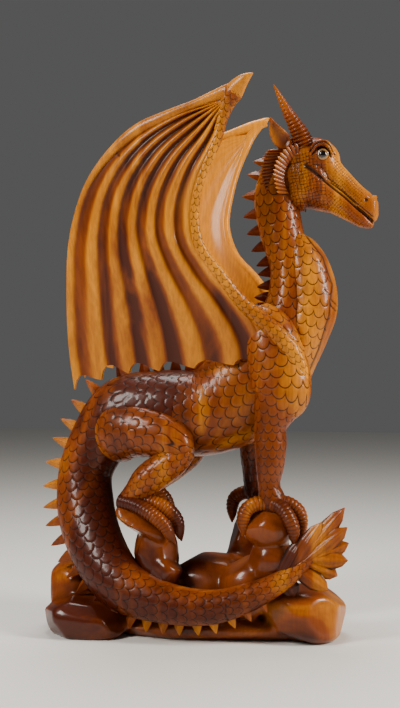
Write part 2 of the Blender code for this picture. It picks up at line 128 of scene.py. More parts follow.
TOE_SHAPE = (1.05, 1.0, 1.0, 0.9, 0.62, 0.1)
TOE_SIDES = 22
CLAW_LENGTH = 15
HORN_PATH = ((201, -20, 897), (190, -24, 924), (169, -32, 963), (154, -38, 993), (146, -41, 1009))
HORN_RADIUS = 19.0
HORN_RINGS = 16
EAR = (
    (180, -25, 896, 7, 6), (161, -37, 908, 16, 8), (149, -48, 926, 11, 6), (142, -57, 946, 1, 1),
)
BROW = ((214, -33, 886, 4, 5), (226, -37, 899, 6, 6), (243, -36, 898, 6, 6), (254, -31, 880, 4, 5))
EYE_PLACE = (236, -36, 879)
# Radius and height of the pale ring and of the pupil in it.
EYE_RING = (10.6, 3.4)
PUPIL = (8.0, 5.0)
EYE_BURIED = 6.0
EYE_SIDES = 28
NOSTRIL_PLACE = (309, -15, 799)
NOSTRIL_RADIUS = 11
NOSTRIL_CUT = (314, 796)
FRILL_RIBS = 14
FRILL_WALL = 11
FRILL_TOOTH = 0.2
# Two tiers, each from its root along the cheek to its tips.
FRILL_TIERS = (
    (
        (
            (194, -34, 884), (181, -32, 875), (170, -30, 859), (166, -29, 841), (168, -30, 822), (174, -30, 808),
        ),
        (
            (190, -43, 901), (170, -46, 893), (155, -47, 877), (147, -47, 855), (147, -46, 831), (153, -43, 807),
        ),
    ),
    (
        (
            (164, -27, 892), (155, -28, 879), (149, -28, 864), (147, -28, 846), (147, -28, 831), (151, -27, 816),
        ),
        (
            (135, -36, 891), (124, -38, 877), (122, -39, 860), (120, -39, 844), (124, -38, 829), (133, -36, 810),
        ),
    ),
)

# Lines cut into the side of the head, as x and z.
MOUTH_LINE = ((206, 858), (221, 847), (239, 831), (257, 816), (276, 801), (294, 784), (312, 769), (330, 752))
LIP_LINE = ((228, 842), (252, 826), (272, 811), (290, 795), (308, 780), (325, 765))
OUTER_LID = ((212, 885), (220, 895), (229, 900), (240, 902), (249, 895), (257, 881))
INNER_LID = ((217, 880), (226, 889), (236, 892), (245, 888), (250, 876))
BREAST_LINE = ((196, 742), (235, 692), (253, 640), (248, 585), (229, 524), (210, 480))
BREAST_CROSS_CUTS = (((251, 613), (262, 601)), ((250, 602), (261, 590)))
CHEEK_FOLD = ((206, 876), (216, 870), (233, 866), (251, 864))

# The wing's arm starts at the claw's tip, and the web hangs between the arm and the rim.
ARM = (
    (131, -197, 997, 1, 1), (119, -193, 991, 8, 7), (108, -188, 983, 13, 9), (96, -182, 970, 17, 10),
    (84, -176, 953, 14, 9), (73, -170, 926, 10, 8), (63, -165, 892, 9, 8), (31, -155, 822, 8, 8),
    (18, -143, 756, 9, 9), (24, -135, 711, 10, 10), (62, -120, 653, 11, 11), (104, -101, 599, 13, 13),
    (131, -84, 545, 15, 15), (138, -72, 480, 15, 15),
)
RIM = (
    (70, -174, 955), (-30, -162, 940), (-110, -147, 905), (-178, -127, 841), (-222, -102, 745),
    (-239, -74, 615), (-240, -55, 521), (-233, -43, 445),
)
# The bone along the top of the rim, from the claw.
RIM_BONE = (
    (104, -185, 981, 9, 7), (77, -177, 971, 11, 8), (47, -172, 961, 9, 8), (18, -168, 951, 8, 8),
    (-9, -165, 942, 9, 8), (-38, -161, 932, 10, 8), (-72, -154, 920, 11, 8), (-99, -149, 905, 11, 8),
    (-127, -142, 885, 9, 7), (-160, -132, 854, 7, 6), (-196, -117, 800, 5, 5), (-222, -101, 738, 3, 4),
)
FAR_ARM = (
    (106, 190, 991, 1, 1), (99, 187, 986, 6, 5), (89, 182, 978, 9, 7), (80, 179, 968, 10, 8),
    (69, 174, 950, 10, 8), (60, 169, 927, 9, 8), (50, 165, 901, 8, 8), (31, 153, 832, 8, 8),
    (24, 143, 766, 9, 9), (42, 133, 711, 10, 10), (88, 118, 658, 11, 11), (121, 101, 604, 13, 13),
    (134, 84, 550, 15, 15), (140, 72, 485, 15, 15),
)
WEB_FROM = 0.12
ARM_STATIONS_TO_SHOULDER = 12
WEB_WALL = 13
WEB_WALL_AT_RIM = 10
WEB_BULGE = 16
# Where the web's crests run, from the rim at 0 to the arm at 1, over its upper half and along its lower edge.
CRESTS_ABOVE = (0.0, 0.17, 0.32, 0.47, 0.62, 0.77, 0.94, 1.0)
CRESTS_BELOW = (0.0, 0.15, 0.3, 0.46, 0.64, 0.84, 0.98, 1.0)
CRESTS_SPREAD_FROM = 0.5
# A flute's section from one crest to the next: share of the way across, and height.
FLUTE = (
    (0.0, 1.0), (0.1, 0.98), (0.19, 0.86), (0.3, 0.3), (0.4, 0.04), (0.54, 0.08), (0.74, 0.46), (0.9, 0.9),
    (1.0, 1.0),
)
# The lower edge's shape from one point to the next, in the same terms: 1 is the deepest of the notch.
NOTCH = ((0.0, 0.0), (0.1, 0.6), (0.25, 1.0), (0.45, 0.9), (0.8, 0.3), (1.0, 0.0))
FLUTE_DEPTH = 9
SCALLOP = 19
EDGE_RISE = 17
EDGE_DRAWN_ON = 520.0
FAR_RIM_SHIFT = (-4, 1)
FAR_WEB_REACH = 0.97
FAR_FRONT_LEG_SHIFT = -52
FAR_SHOULDER_SHIFT = -16
FAR_HIND_LEG_SHIFT = -5
FAR_HIND_HEEL = -118
FAR_HIND_REACH = 0.45
CLAW_SHARE = 0.07

SPIKE_LENGTHS = ((0.0, 24), (0.3, 26), (0.45, 31), (0.62, 31), (0.72, 26), (0.8, 19), (0.92, 14), (1.0, 9))
SPIKES_FROM_NAPE = 3
SPIKES_TO_TIP = 140
SPIKE_ROOT = 7
SPIKE_BASE = 0.42

# A leaf of the tail fin: x and z of its tip, and the share of the fin's root where it grows.
FIN_LEAVES = (
    (212, 190, 0.0), (240, 214, 0.25), (281, 240, 0.5), (286, 206, 0.65), (288, 177, 0.8), (287, 147, 0.9),
    (268, 118, 0.8), (252, 94, 0.5), (192, 79, 0.1),
)
FIN_ROOT = ((168, -108, 110), (222, -100, 152))
LEAF_WIDTH = 21
LEAF_WALL = 8

# A rock is its centre, its three half sizes, its lean in degrees, and how square it is: 2 is an egg.
ROUND_ROCKS = (
    (-200, -72, 20, 84, 70, 44, 0, 2.8), (-242, 4, 66, 54, 70, 54, 0, 2.3), (0, -30, 8, 200, 76, 32, 0, 3.5),
    (198, -30, 38, 80, 86, 54, 5, 2.7), (138, 40, 14, 100, 90, 62, 0, 2.4),
    (142, -72, 196, 47, 46, 37, -6, 2.2), (146, -68, 138, 42, 44, 44, 0, 2.2),
    (26, 6, 60, 104, 84, 76, 3, 2.3),
)
FACETED_ROCKS = (
    (-112, 30, 18, 124, 98, 62, 0, 2.4), (-92, -86, 200, 56, 34, 22, 32, 2.3),
    (-70, -64, 138, 42, 46, 70, 0, 2.5), (-50, -84, 108, 34, 34, 34, 0, 2.3),
    (-98, 64, 128, 38, 46, 108, 0, 2.4), (116, -50, 84, 66, 60, 60, 0, 2.3),
    (92, 76, 140, 54, 48, 96, 0, 2.3),
)
ROCK_FACETS = 16
ROUND_CUT = (0.9, 1.0)
FACETED_CUT = (0.72, 0.96)

# Old drying cracks, as x and z: one near the near wing's rim and one across the tail.
WING_CRACK = ((-126, 877), (-121, 870), (-117, 866))
TAIL_CRACK = ((76, 74), (75, 55), (77, 34))

# Scales grow with the body they lie on: its radius, then their length and width.
SCALE_AT_RADIUS = (15.0, 45.0)
SCALE_LENGTHS = (0.72, 1.06)
SCALE_WIDTHS = (0.46, 1.0)
SCALE_TIP = 0.74
# The half angles left bare along a limb's back and inner side, for a limb with scales all round.
BARE_NOWHERE = (0.0, 0.0)
SPINE_SIDES = 168

# The photograph's frame and the camera that took it.
PHOTO_HEIGHT = 708
FOCAL_PIXELS = 1266.5
SENSOR = 36.0
CAMERA_TURN = math.radians(11.0)
CAMERA_FAR = 2400.0
CAMERA_UP = 513.0

# In metres: half the floor's side, and each lamp's name, place, what it is aimed at, size, watts and tint.
FLOOR_REACH = 6.0
LAMPS = (
    ("left_softbox", (-1.6, -1.7, 1.9), (0.0, 0.0, 0.75), (0.7, 1.3), 84, (1.0, 0.95, 0.88)),
    ("right_softbox", (2.1, -0.4, 1.4), (0.0, 0.0, 0.75), (0.5, 1.3), 80, (1.0, 0.94, 0.85)),
    ("top_softbox", (-0.2, 0.5, 2.5), (0.0, 0.0, 0.5), (1.0, 1.0), 50, (1.0, 0.98, 0.95)),
)

# A shape's marks are six numbers a point, two to a layer: scale row and column, share of scales and tone,
# and how hollow it is, which darkens it with painted shade, with a number that stays 0.
Shape = namedtuple("Shape", "points faces marks")
MARK_LAYERS = ("scales", "finish", "depths")
MARKS = 2 * len(MARK_LAYERS)
TONE, HOLLOW = 3, 4
# How far a tone of 1 moves the wood from its brown figure to its gold.
TONE_STEP = 0.16
# The tone of each part. Several tones are spread evenly along it.
# A painted sheen lightens the neck; the trunk darkens towards the tail.
NECK_AND_TRUNK_TONES = (0.3, 0.3, 0.1, 0.0, -0.3)
BREAST_TONE = 1.0
# Painted shade darkens the tail, most towards its middle.
TAIL_TONES = (-0.9, -1.4, -0.8, -0.5)
# A painted highlight lightens the front legs at the shoulder; they darken towards the feet.
FRONT_LEG_TONES = (0.8, 0.1, -0.9, -1.9)
TOE_TONE = -0.8
EAR_TONE = -0.6
HORN_TONE = -0.7
SPIKE_TONE = -0.2
LEAF_TONE = -0.7
ROCK_TONE = -0.5
ARM_TONE, CLAW_TONE, BONE_TONE = 0.8, 1.8, 0.9
# Painted light: the far wing and the inner side of each web are painted lighter, for the light that falls on
# them.
FAR_WING_LIT_TONE = 2.0
WEB_INSIDE_LIT_TONE = 2.2
# The angle in degrees from which an edge stays sharp, on scales and on finely cut pieces.
SCALES_SHARP = 70
CUTS_SHARP = 50


def linear(hex_colour):
    """An sRGB hex colour as linear RGB."""
    channels = [int(hex_colour[i : i + 2], 16) / 255 for i in (1, 3, 5)]
    return tuple(c / 12.92 if c <= 0.04045 else ((c + 0.055) / 1.055) ** 2.4 for c in channels)


# Settings


def millimetres(name, description, default):
    return bpy.props.FloatProperty(
        name=name, description=description, default=default / 1000, unit="LENGTH", min=0.0, precision=5
    )


def colour(name, description, hex_colour):
    return bpy.props.FloatVectorProperty(
        name=name, description=description, default=linear(hex_colour), subtype="COLOR", size=3, min=0, max=1
    )


class DragonSizes(bpy.types.PropertyGroup):
    """Sizes of the carving that a carver would change."""

    scale_length: millimetres("Scale length", "Length of a scale on the body", 17)
    scale_width: millimetres("Scale width", "Width of a scale on the body", 21)
    scale_lift: millimetres("Scale lift", "How far a scale's tip stands over the next row", 0.8)
    groove: millimetres("Scale groove", "Depth of the cut round each scale", 0.8)
    spike_pitch: millimetres("Spike pitch", "From one spike of the back to the next", 28)
    toe_rib: millimetres("Toe rib", "From one rib of a toe to the next", 6.2)
    hatch: millimetres("Hatching", "From one cut of the cheek's hatching to the next", 6.0)
    skin_step: millimetres("Skin step", "Mesh step on the body", 2.25)
    tail_step: millimetres("Tail step", "Mesh step along the tail", 2.8)
    head_step: millimetres("Head step", "Mesh step on the head", 1.25)
    rock_step: millimetres("Rock step", "Mesh step on the rocks", 3.7)


class DragonColours(bpy.types.PropertyGroup):
    """Colours of the wood, the painted shade of its hollows, the eyes and the stage."""

    gold: colour("Gold", "Sapwood gold of the high places", "#D2840E")
    amber: colour("Amber", "The wood's main colour", "#863E05")
    chestnut: colour("Chestnut", "Dark figure of the heartwood", "#431503")
    # Painted shade: near black mixed into hollows, cuts and scale grooves to stand in for the shade in them.
    hollow_shade: colour("Recess", "Stain that stays in the hollows", "#120502")
    eye_black: colour("Eye black", "Black pupil", "#0B0806")
    eye_pale: colour("Eye ring", "Pale ring round the pupil", "#9C7442")
    floor: colour("Floor", "Pale floor", "#D9D7D3")


def sizes():
    return bpy.context.scene.dragon_sizes


def colours():
    return bpy.context.scene.dragon_colours


def drawn(length):
    """A length in metres, in the carver's units."""
    return length / UNIT


# Forms


def smooth(stations, count):
    """Rows spread evenly along a smooth curve through the stations, with every column carried along."""
    knots = np.array(stations, dtype=float)
    steps = np.linalg.norm(np.diff(knots[:, :3], axis=0), axis=1)
    reach = np.concatenate([[0.0], np.cumsum(steps)])
    slopes = np.gradient(knots, reach, axis=0)
    at = np.linspace(0.0, reach[-1], count)
    left = np.clip(np.searchsorted(reach, at, side="right") - 1, 0, len(reach) - 2)
    gap = (reach[left + 1] - reach[left])[:, None]
    u = (at - reach[left])[:, None] / gap
    start = (2 * u**3 - 3 * u**2 + 1) * knots[left] + (u**3 - 2 * u**2 + u) * gap * slopes[left]
    end = (3 * u**2 - 2 * u**3) * knots[left + 1] + (u**3 - u**2) * gap * slopes[left + 1]
    return start + end


def unit(vectors):
    return vectors / np.maximum(np.linalg.norm(vectors, axis=-1, keepdims=True), 1e-9)


def step_up(x, low, high):
    """0 below low, 1 above high, and smooth between."""
    t = np.clip((x - low) / (high - low), 0.0, 1.0)
    return t * t * (3 - 2 * t)


def length_of(points):
    """Distance along a path at each of its points."""
    return np.concatenate([[0.0], np.cumsum(np.linalg.norm(np.diff(points, axis=0), axis=1))])


def axes_along(centre, across=(0.0, 1.0, 0.0)):
    """For each point of a path: ahead, the direction across the plane, and the direction in the plane."""
    ahead = unit(np.gradient(centre, axis=0))
    across = np.array(across)
    side = unit(across - (ahead @ across)[:, None] * ahead)
    return ahead, side, np.cross(ahead, side)


def mirrored(stations, shift=0.0, lift=0.0):
    """The same stations on the far side, moved along and up."""
    return [(x + shift, -y, z + lift, *rest) for x, y, z, *rest in stations]


def tube_faces(rows, sides):
    """Quads between rings of points, and a fan that closes each end on one more point."""
    first = (np.arange(rows - 1) * sides)[:, None]
    k = np.arange(sides)
    a, b = first + k, first + (k + 1) % sides
    quads = np.stack([a, b, b + sides, a + sides], axis=-1).reshape(-1, 4).tolist()
    last = (rows - 1) * sides
    for j in range(sides):
        quads.append([(j + 1) % sides, j, rows * sides])
        quads.append([last + j, last + (j + 1) % sides, rows * sides + 1])
    return quads


def outwards(rings):
    """The outward direction at each point of a tube."""
    along = np.gradient(rings, axis=0)
    around = np.roll(rings, -1, axis=1) - np.roll(rings, 1, axis=1)
    out = unit(np.cross(around, along))
    flip = np.sign(np.sum(out * (rings - rings.mean(axis=1, keepdims=True)), axis=(1, 2)))
    return out * flip[:, None, None]


def near_whole(x):
    """Distance to the nearest whole number."""
    return np.abs(x - np.round(x))


def scale_relief(u, v):
    """Height of overlapping scales, 0 to 1, and the groove round each tip. u counts rows and v columns."""
    row = np.floor(u)
    t = u - row
    upper = near_whole(v + 0.5 * np.mod(row + 1, 2))
    rho = np.sqrt((t / SCALE_TIP) ** 2 + (2 * upper) ** 2)
    height = np.where(rho < 1, 0.55 + 0.45 * t / SCALE_TIP, 0.1 + 0.45 * t)
    return height, np.exp(-(((rho - 1.05) / 0.1) ** 2))


def round_ring(sides):
    """The angle of each point of a ring."""
    return np.arange(sides) * 2 * math.pi / sides


def rings_round(centre, side, inner, radii, sides):
    """An oval ring of points round each place of a path."""
    angle = round_ring(sides)
    return (
        centre[:, None]
        + radii[:, 0, None, None] * np.cos(angle)[None, :, None] * inner[:, None]
        + radii[:, 1, None, None] * np.sin(angle)[None, :, None] * side[:, None]
    )


def closed_tube(rings, centre, marks):
    """The body that rings of points enclose, closed on the first and the last place of its centre."""
    points = np.concatenate([rings.reshape(-1, 3), centre[:1], centre[-1:]])
    return Shape(points, tube_faces(*rings.shape[:2]), marks)


def limb(stations, step, part=(0.0, 1.0), turn=0.0, plain=(0.45, 0.3), tone=0.0, sides=None, outer=0):
    """An oval limb covered in scales.

    part is the share of its path to make, turn is how far its scales point away from straight along it, and
    plain is the half angle left bare along its back and along its inner side. tone is one number, or some
    evenly spread along the part. outer keeps the scales to the near side, -1, or the far side, 1.
    """
    whole = smooth(stations, 1200)
    reach = length_of(whole[:, :3])
    radius = np.maximum(whole[:, 3:5], 0.8).mean(axis=1)
    long = drawn(sizes().scale_length) * np.interp(radius, SCALE_AT_RADIUS, SCALE_LENGTHS)
    wide = drawn(sizes().scale_width) * np.interp(radius, SCALE_AT_RADIUS, SCALE_WIDTHS)
    scales_in = np.concatenate([[0.0], np.cumsum(np.diff(reach) / ((long[1:] + long[:-1]) / 2))])
    _, side, inner = axes_along(whole[:, :3])
    ends = np.array(part) * reach[-1]
    rows = max(int((ends[1] - ends[0]) / step), 8)
    at = np.linspace(*ends, rows)

    def here(values):
        columns = values.reshape(len(values), -1)
        return np.stack([np.interp(at, reach, column) for column in columns.T], axis=-1)

    centre, radii = here(whole[:, :3]), np.maximum(here(whole[:, 3:5]), 0.8)
    side, inner, long, wide = here(side), here(inner), here(long)[:, 0], here(wide)[:, 0]
    middle_radius = radii.mean(axis=1)
    if sides is None:
        sides = int(2 * math.pi * middle_radius.max() / (step * 1.1)) // 2 * 2
    angle = round_ring(sides)
    rings = rings_round(centre, side, inner, radii, sides)
    from_inner = np.abs((angle + math.pi) % (2 * math.pi) - math.pi)
    around = (math.pi / 2 - from_inner)[None, :] * middle_radius[:, None]
    u = np.repeat(here(scales_in), sides, axis=1)
    v = around / wide[:, None]
    if turn:
        along_cells, around_cells = u * long[:, None], v * wide[:, None]
        u = (along_cells * math.cos(turn) + around_cells * math.sin(turn)) / long.mean() + 20
        v = (around_cells * math.cos(turn) - along_cells * math.sin(turn)) / wide.mean()
    at_back = step_up(from_inner, math.pi - plain[0], math.pi - plain[0] + 0.12)
    bare = step_up(from_inner, plain[1], plain[1] + 0.12) * (1 - at_back)
    if outer:
        bare = bare * step_up(outer * np.sin(angle), -0.2, 0.2)
    share = np.repeat(bare[None, :], rows, axis=0)
    height, groove = scale_relief(u, v)
    tones = np.interp(np.linspace(0, 1, rows), np.linspace(0, 1, np.size(tone)), np.atleast_1d(tone))
    lift = drawn(sizes().scale_lift) * (height - 0.4) - drawn(sizes().groove) * groove
    rings = rings + (lift * share)[..., None] * outwards(rings)
    # The fifth number is painted shade in the groove round each scale.
    marks = np.stack([u, v, share, tones[:, None] + 0 * u, 0.35 * groove * share, 0 * u], axis=-1)
    marks = marks.reshape(-1, MARKS)
    return closed_tube(rings, centre, np.concatenate([marks, marks[:1], marks[-1:]]))


def plain_limb(stations, rows, sides, swell=None, tone=0.0, hollow=None):
    """A smooth oval limb. swell scales its rows, and hollow darkens them with painted shade."""
    path = smooth(stations, rows)
    centre, radii = path[:, :3], np.maximum(path[:, 3:5], 0.5)
    if swell is not None:
        radii = radii * np.asarray(swell)[:, None]
    _, side, inner = axes_along(centre)
    marks = np.zeros((rows * sides + 2, MARKS))
    marks[:, TONE] = tone
    if hollow is not None:
        marks[:-2, HOLLOW] = np.repeat(hollow, sides)
    return closed_tube(rings_round(centre, side, inner, radii, sides), centre, marks)


def ball(place, radius, squash, rows=24):
    """A ball, flattened across the figure."""
    x, y, z = place
    turn = np.linspace(0.03, 0.97, rows) * math.pi
    half = [radius * math.sin(t) for t in turn]
    stations = [(x - radius * math.cos(t), y, z, r, r * squash) for t, r in zip(turn, half)]
    return plain_limb(stations, rows, rows)


def slab(outer, inner, marks):
    """A closed body between two grids of points, with marks for the outer grid."""
    rows, columns = outer.shape[:2]
    half = rows * columns
    a = (np.arange(rows - 1)[:, None] * columns + np.arange(columns - 1)).reshape(-1)
    quads = np.stack([a, a + 1, a + 1 + columns, a + columns], axis=-1)
    faces = quads.tolist() + (quads[:, ::-1] + half).tolist()
    border = list(range(columns))
    border += [i * columns + columns - 1 for i in range(1, rows)]
    border += [(rows - 1) * columns + j for j in range(columns - 2, -1, -1)]
    border += [i * columns for i in range(rows - 2, 0, -1)]
    for a, b in zip(border, border[1:] + border[:1]):
        faces.append([b, a, half + a, half + b])
    points = np.concatenate([outer.reshape(-1, 3), inner.reshape(-1, 3)])
    flat = marks.reshape(-1, MARKS)
    under = flat.copy()
    under[:, HOLLOW] *= 0.15
    return Shape(points, faces, np.concatenate([flat, under]))


# Meshes


def in_place(points):
    """Drawn places as metres in the frame."""
    return (np.asarray(points) - (0.0, 0.0, DRAWN_GROUND)) * UNIT


def drawn_places(obj):
    """The drawn x, y and z of an object's points."""
    return (coordinates(obj.data) / UNIT + (0.0, 0.0, DRAWN_GROUND)).T


def read(items, field, width, kind=np.float32):
    """A field of a mesh's points, edges or corners, a row each."""
    found = np.empty(len(items) * width, kind)
    items.foreach_get(field, found)
    return found.reshape(-1, width)


def coordinates(mesh):
    return read(mesh.vertices, "co", 3).astype(float)


def normals(mesh):
    return read(mesh.vertex_normals, "vector", 3).astype(float)


def edges_of(mesh):
    return read(mesh.edges, "vertices", 2, np.int32)


def corners_of(mesh):
    """The point that each corner of a face stands on."""
    return read(mesh.loops, "vertex_index", 1, np.int32)[:, 0]


def move_points(mesh, points):
    mesh.vertices.foreach_set("co", points.astype(np.float32).ravel())
    mesh.update()


def write_layer(mesh, layer_name, pairs):
    mesh.uv_layers[layer_name].data.foreach_set("uv", pairs.astype(np.float32).ravel())


def add_layers(mesh):
    for layer_name in MARK_LAYERS:
        mesh.uv_layers.new(name=layer_name, do_init=False)


def linked(name, data):
    """A new object of the scene."""
    made = bpy.data.objects.new(name, data)
    bpy.context.scene.collection.objects.link(made)
    return made


def mesh_object(name, shape):
    mesh = bpy.data.meshes.new(name)
    mesh.from_pydata(in_place(shape.points).tolist(), [], shape.faces)
    add_layers(mesh)
    corners = corners_of(mesh)
    for i, layer_name in enumerate(MARK_LAYERS):
        write_layer(mesh, layer_name, shape.marks[corners, 2 * i : 2 * i + 2])
    work = bmesh.new()
    work.from_mesh(mesh)
    bmesh.ops.recalc_face_normals(work, faces=work.faces)
    work.to_mesh(mesh)
    work.free()
    return linked(name, mesh)


def baked(obj):
    """The object with its modifiers made part of its mesh."""
    graph = bpy.context.evaluated_depsgraph_get()
    mesh = bpy.data.meshes.new_from_object(obj.evaluated_get(graph))
    if not mesh.polygons:
        raise RuntimeError(f"{obj.name} came out empty")
    obj.modifiers.clear()
    old, obj.data = obj.data, mesh
    bpy.data.meshes.remove(old)
    mesh.name = obj.name
    return obj


def carved_as_one(name, shapes):
    """The union of the shapes as one object."""
    base, *others = [mesh_object(f"{name}_{i}", shape) for i, shape in enumerate(shapes)]
    tools = bpy.data.collections.new(f"{name}_tools")
    bpy.context.scene.collection.children.link(tools)
    for other in others:
        tools.objects.link(other)
        bpy.context.scene.collection.objects.unlink(other)
    union = base.modifiers.new("union", "BOOLEAN")
    union.operation = "UNION"
    union.operand_type = "COLLECTION"
    union.collection = tools
    union.solver = "MANIFOLD"
    baked(base)
    for other in others:
        bpy.data.objects.remove(other)
    bpy.data.collections.remove(tools)
    base.name = name
    return base


def together(name, shapes):
    """The shapes side by side in one object."""
    points, faces, marks, start = [], [], [], 0
    for shape in shapes:
        points.append(shape.points)
        marks.append(shape.marks)
        faces += [[start + v for v in face] for face in shape.faces]
        start += len(shape.points)
    return mesh_object(name, Shape(np.concatenate(points), faces, np.concatenate(marks)))


def remeshed(obj, step):
    """One even skin over all that the object holds, its marks blank."""
    voxels = obj.modifiers.new("even", "REMESH")
    voxels.mode = "VOXEL"
    voxels.voxel_size = step
    baked(obj)
    add_layers(obj.data)
    return obj


def averaged(values, ends, rounds, keep=0.5):
    """Each point's value mixed with the mean of its neighbours'."""
    count = np.bincount(ends.ravel(), minlength=len(values)).astype(float)
    shape = (-1,) + (1,) * (values.ndim - 1)
    for _ in range(rounds):
        total = np.zeros_like(values)
        np.add.at(total, ends[:, 0], values[ends[:, 1]])
        np.add.at(total, ends[:, 1], values[ends[:, 0]])
        values = keep * values + (1 - keep) * total / np.maximum(count, 1).reshape(shape)
    return values


def softened(obj, rounds):
    """Rounds off the steps that a voxel mesh leaves."""
    mesh = obj.data
    move_points(mesh, averaged(coordinates(mesh), edges_of(mesh), rounds))


def pushed(obj, heights):
    """Moves each point along its normal by a drawn height."""
    mesh = obj.data
    move_points(mesh, coordinates(mesh) + normals(mesh) * (heights * UNIT)[:, None])


def shade_hollows(obj, strength, extra=None, rounds=3):
    """Writes how hollow each place is into the depths map, for the painted shade in the hollows."""
    mesh = obj.data
    points, ends = coordinates(mesh), edges_of(mesh)
    lengths = np.linalg.norm(points[ends[:, 0]] - points[ends[:, 1]], axis=1)
    mean = averaged(points, ends, 1, keep=0.0)
    bend = np.sum((mean - points) * normals(mesh), axis=1) / max(lengths.mean(), 1e-6) ** 2
    hollow = np.clip(averaged(bend, ends, rounds) * strength, 0.0, 1.0)
    if extra is not None:
        hollow = np.clip(hollow + extra, 0.0, 1.0)
    pairs = read(mesh.uv_layers["depths"].data, "uv", 2)
    pairs[:, 0] = np.maximum(pairs[:, 0], hollow[corners_of(mesh)])
    write_layer(mesh, "depths", pairs)


def mark_finish(obj, tone):
    """Writes the tone of each point into the finish map."""
    tones = tone[corners_of(obj.data)]
    write_layer(obj.data, "finish", np.stack([0 * tones, tones], axis=-1))


def finish(obj, material, sharp=None):
    """Smooth shading, the finish and the frame's own calls for a piece."""
    mesh = obj.data
    mesh.materials.clear()
    mesh.materials.append(material)
    mesh.polygons.foreach_set("use_smooth", np.ones(len(mesh.polygons), bool))
    if sharp is not None:
        mesh.set_sharp_from_angle(angle=math.radians(sharp))
    mesh.validate()
    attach(obj, BODY)
    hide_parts(NODE)


# Materials


def plug(tree, made, links):
    """Puts into each input of a node the socket or the value that links pairs with it."""
    for socket, value in links.items():
        if isinstance(value, bpy.types.NodeSocket):
            tree.links.new(value, made.inputs[socket])
        else:
            made.inputs[socket].default_value = value


def node(tree, kind, links=None, **settings):
    """Adds a node with its links and settings."""
    made = tree.nodes.new(kind)
    for key, value in settings.items():
        setattr(made, key, value)
    plug(tree, made, links or {})
    return made


def sums_in(tree):
    """A function that adds a sum to the tree, as an operation and what goes into it."""

    def sum_of(operation, *values):
        return node(tree, "ShaderNodeMath", dict(enumerate(values)), operation=operation).outputs[0]

    return sum_of


def remap(tree, value, low, high, to_low=0.0, to_high=1.0, kind="SMOOTHSTEP"):
    return node(
        tree,
        "ShaderNodeMapRange",
        {"Value": value, "From Min": low, "From Max": high, "To Min": to_low, "To Max": to_high},
        interpolation_type=kind,
    ).outputs["Result"]


def mix_colours(tree, share, first, second):
    # A mix node's colour sockets are reached by their places, as its other kinds share their names.
    return node(tree, "ShaderNodeMix", {0: share, 6: first, 7: second}, data_type="RGBA").outputs[2]


def pair_of(tree, layer_name):
    """The two numbers that a mark layer holds."""
    layer = node(tree, "ShaderNodeUVMap", uv_map=layer_name)
    parts = node(tree, "ShaderNodeSeparateXYZ", {0: layer.outputs[0]})
    return parts.outputs[0], parts.outputs[1]


def scale_pattern(tree):
    """The groove round each scale, and a number of its own for each scale."""
    u, v = pair_of(tree, "scales")
    sum_of = sums_in(tree)
    row = sum_of("FLOOR", u)
    t = sum_of("FRACT", u)
    odd = sum_of("MODULO", sum_of("ADD", row, 1.0), 2.0)
    across = sum_of("ADD", v, sum_of("MULTIPLY", odd, 0.5))
    from_middle = sum_of("PINGPONG", across, 0.5)
    lengthwise = sum_of("POWER", sum_of("DIVIDE", t, SCALE_TIP), 2.0)
    crosswise = sum_of("POWER", sum_of("MULTIPLY", from_middle, 2.0), 2.0)
    rho = sum_of("SQRT", sum_of("ADD", lengthwise, crosswise))
    off_edge = sum_of("ABSOLUTE", sum_of("SUBTRACT", rho, 1.05))
    groove = remap(tree, off_edge, 0.02, 0.1, 1.0, 0.0)
    under = sum_of("GREATER_THAN", rho, 1.0)
    own_row = sum_of("ADD", row, under)
    own_column = sum_of("ROUND", sum_of("ADD", across, sum_of("MULTIPLY", under, 0.5)))
    place = node(tree, "ShaderNodeCombineXYZ", {0: own_row, 1: own_column})
    own = node(tree, "ShaderNodeTexWhiteNoise", {"Vector": place.outputs[0]}, noise_dimensions="3D")
    return groove, own.outputs["Value"]


def blank_material(name):
    """A new material, with its node tree and its shader."""
    material = bpy.data.materials.new(name)
    material.use_nodes = True
    return material, material.node_tree, material.node_tree.nodes["Principled BSDF"]


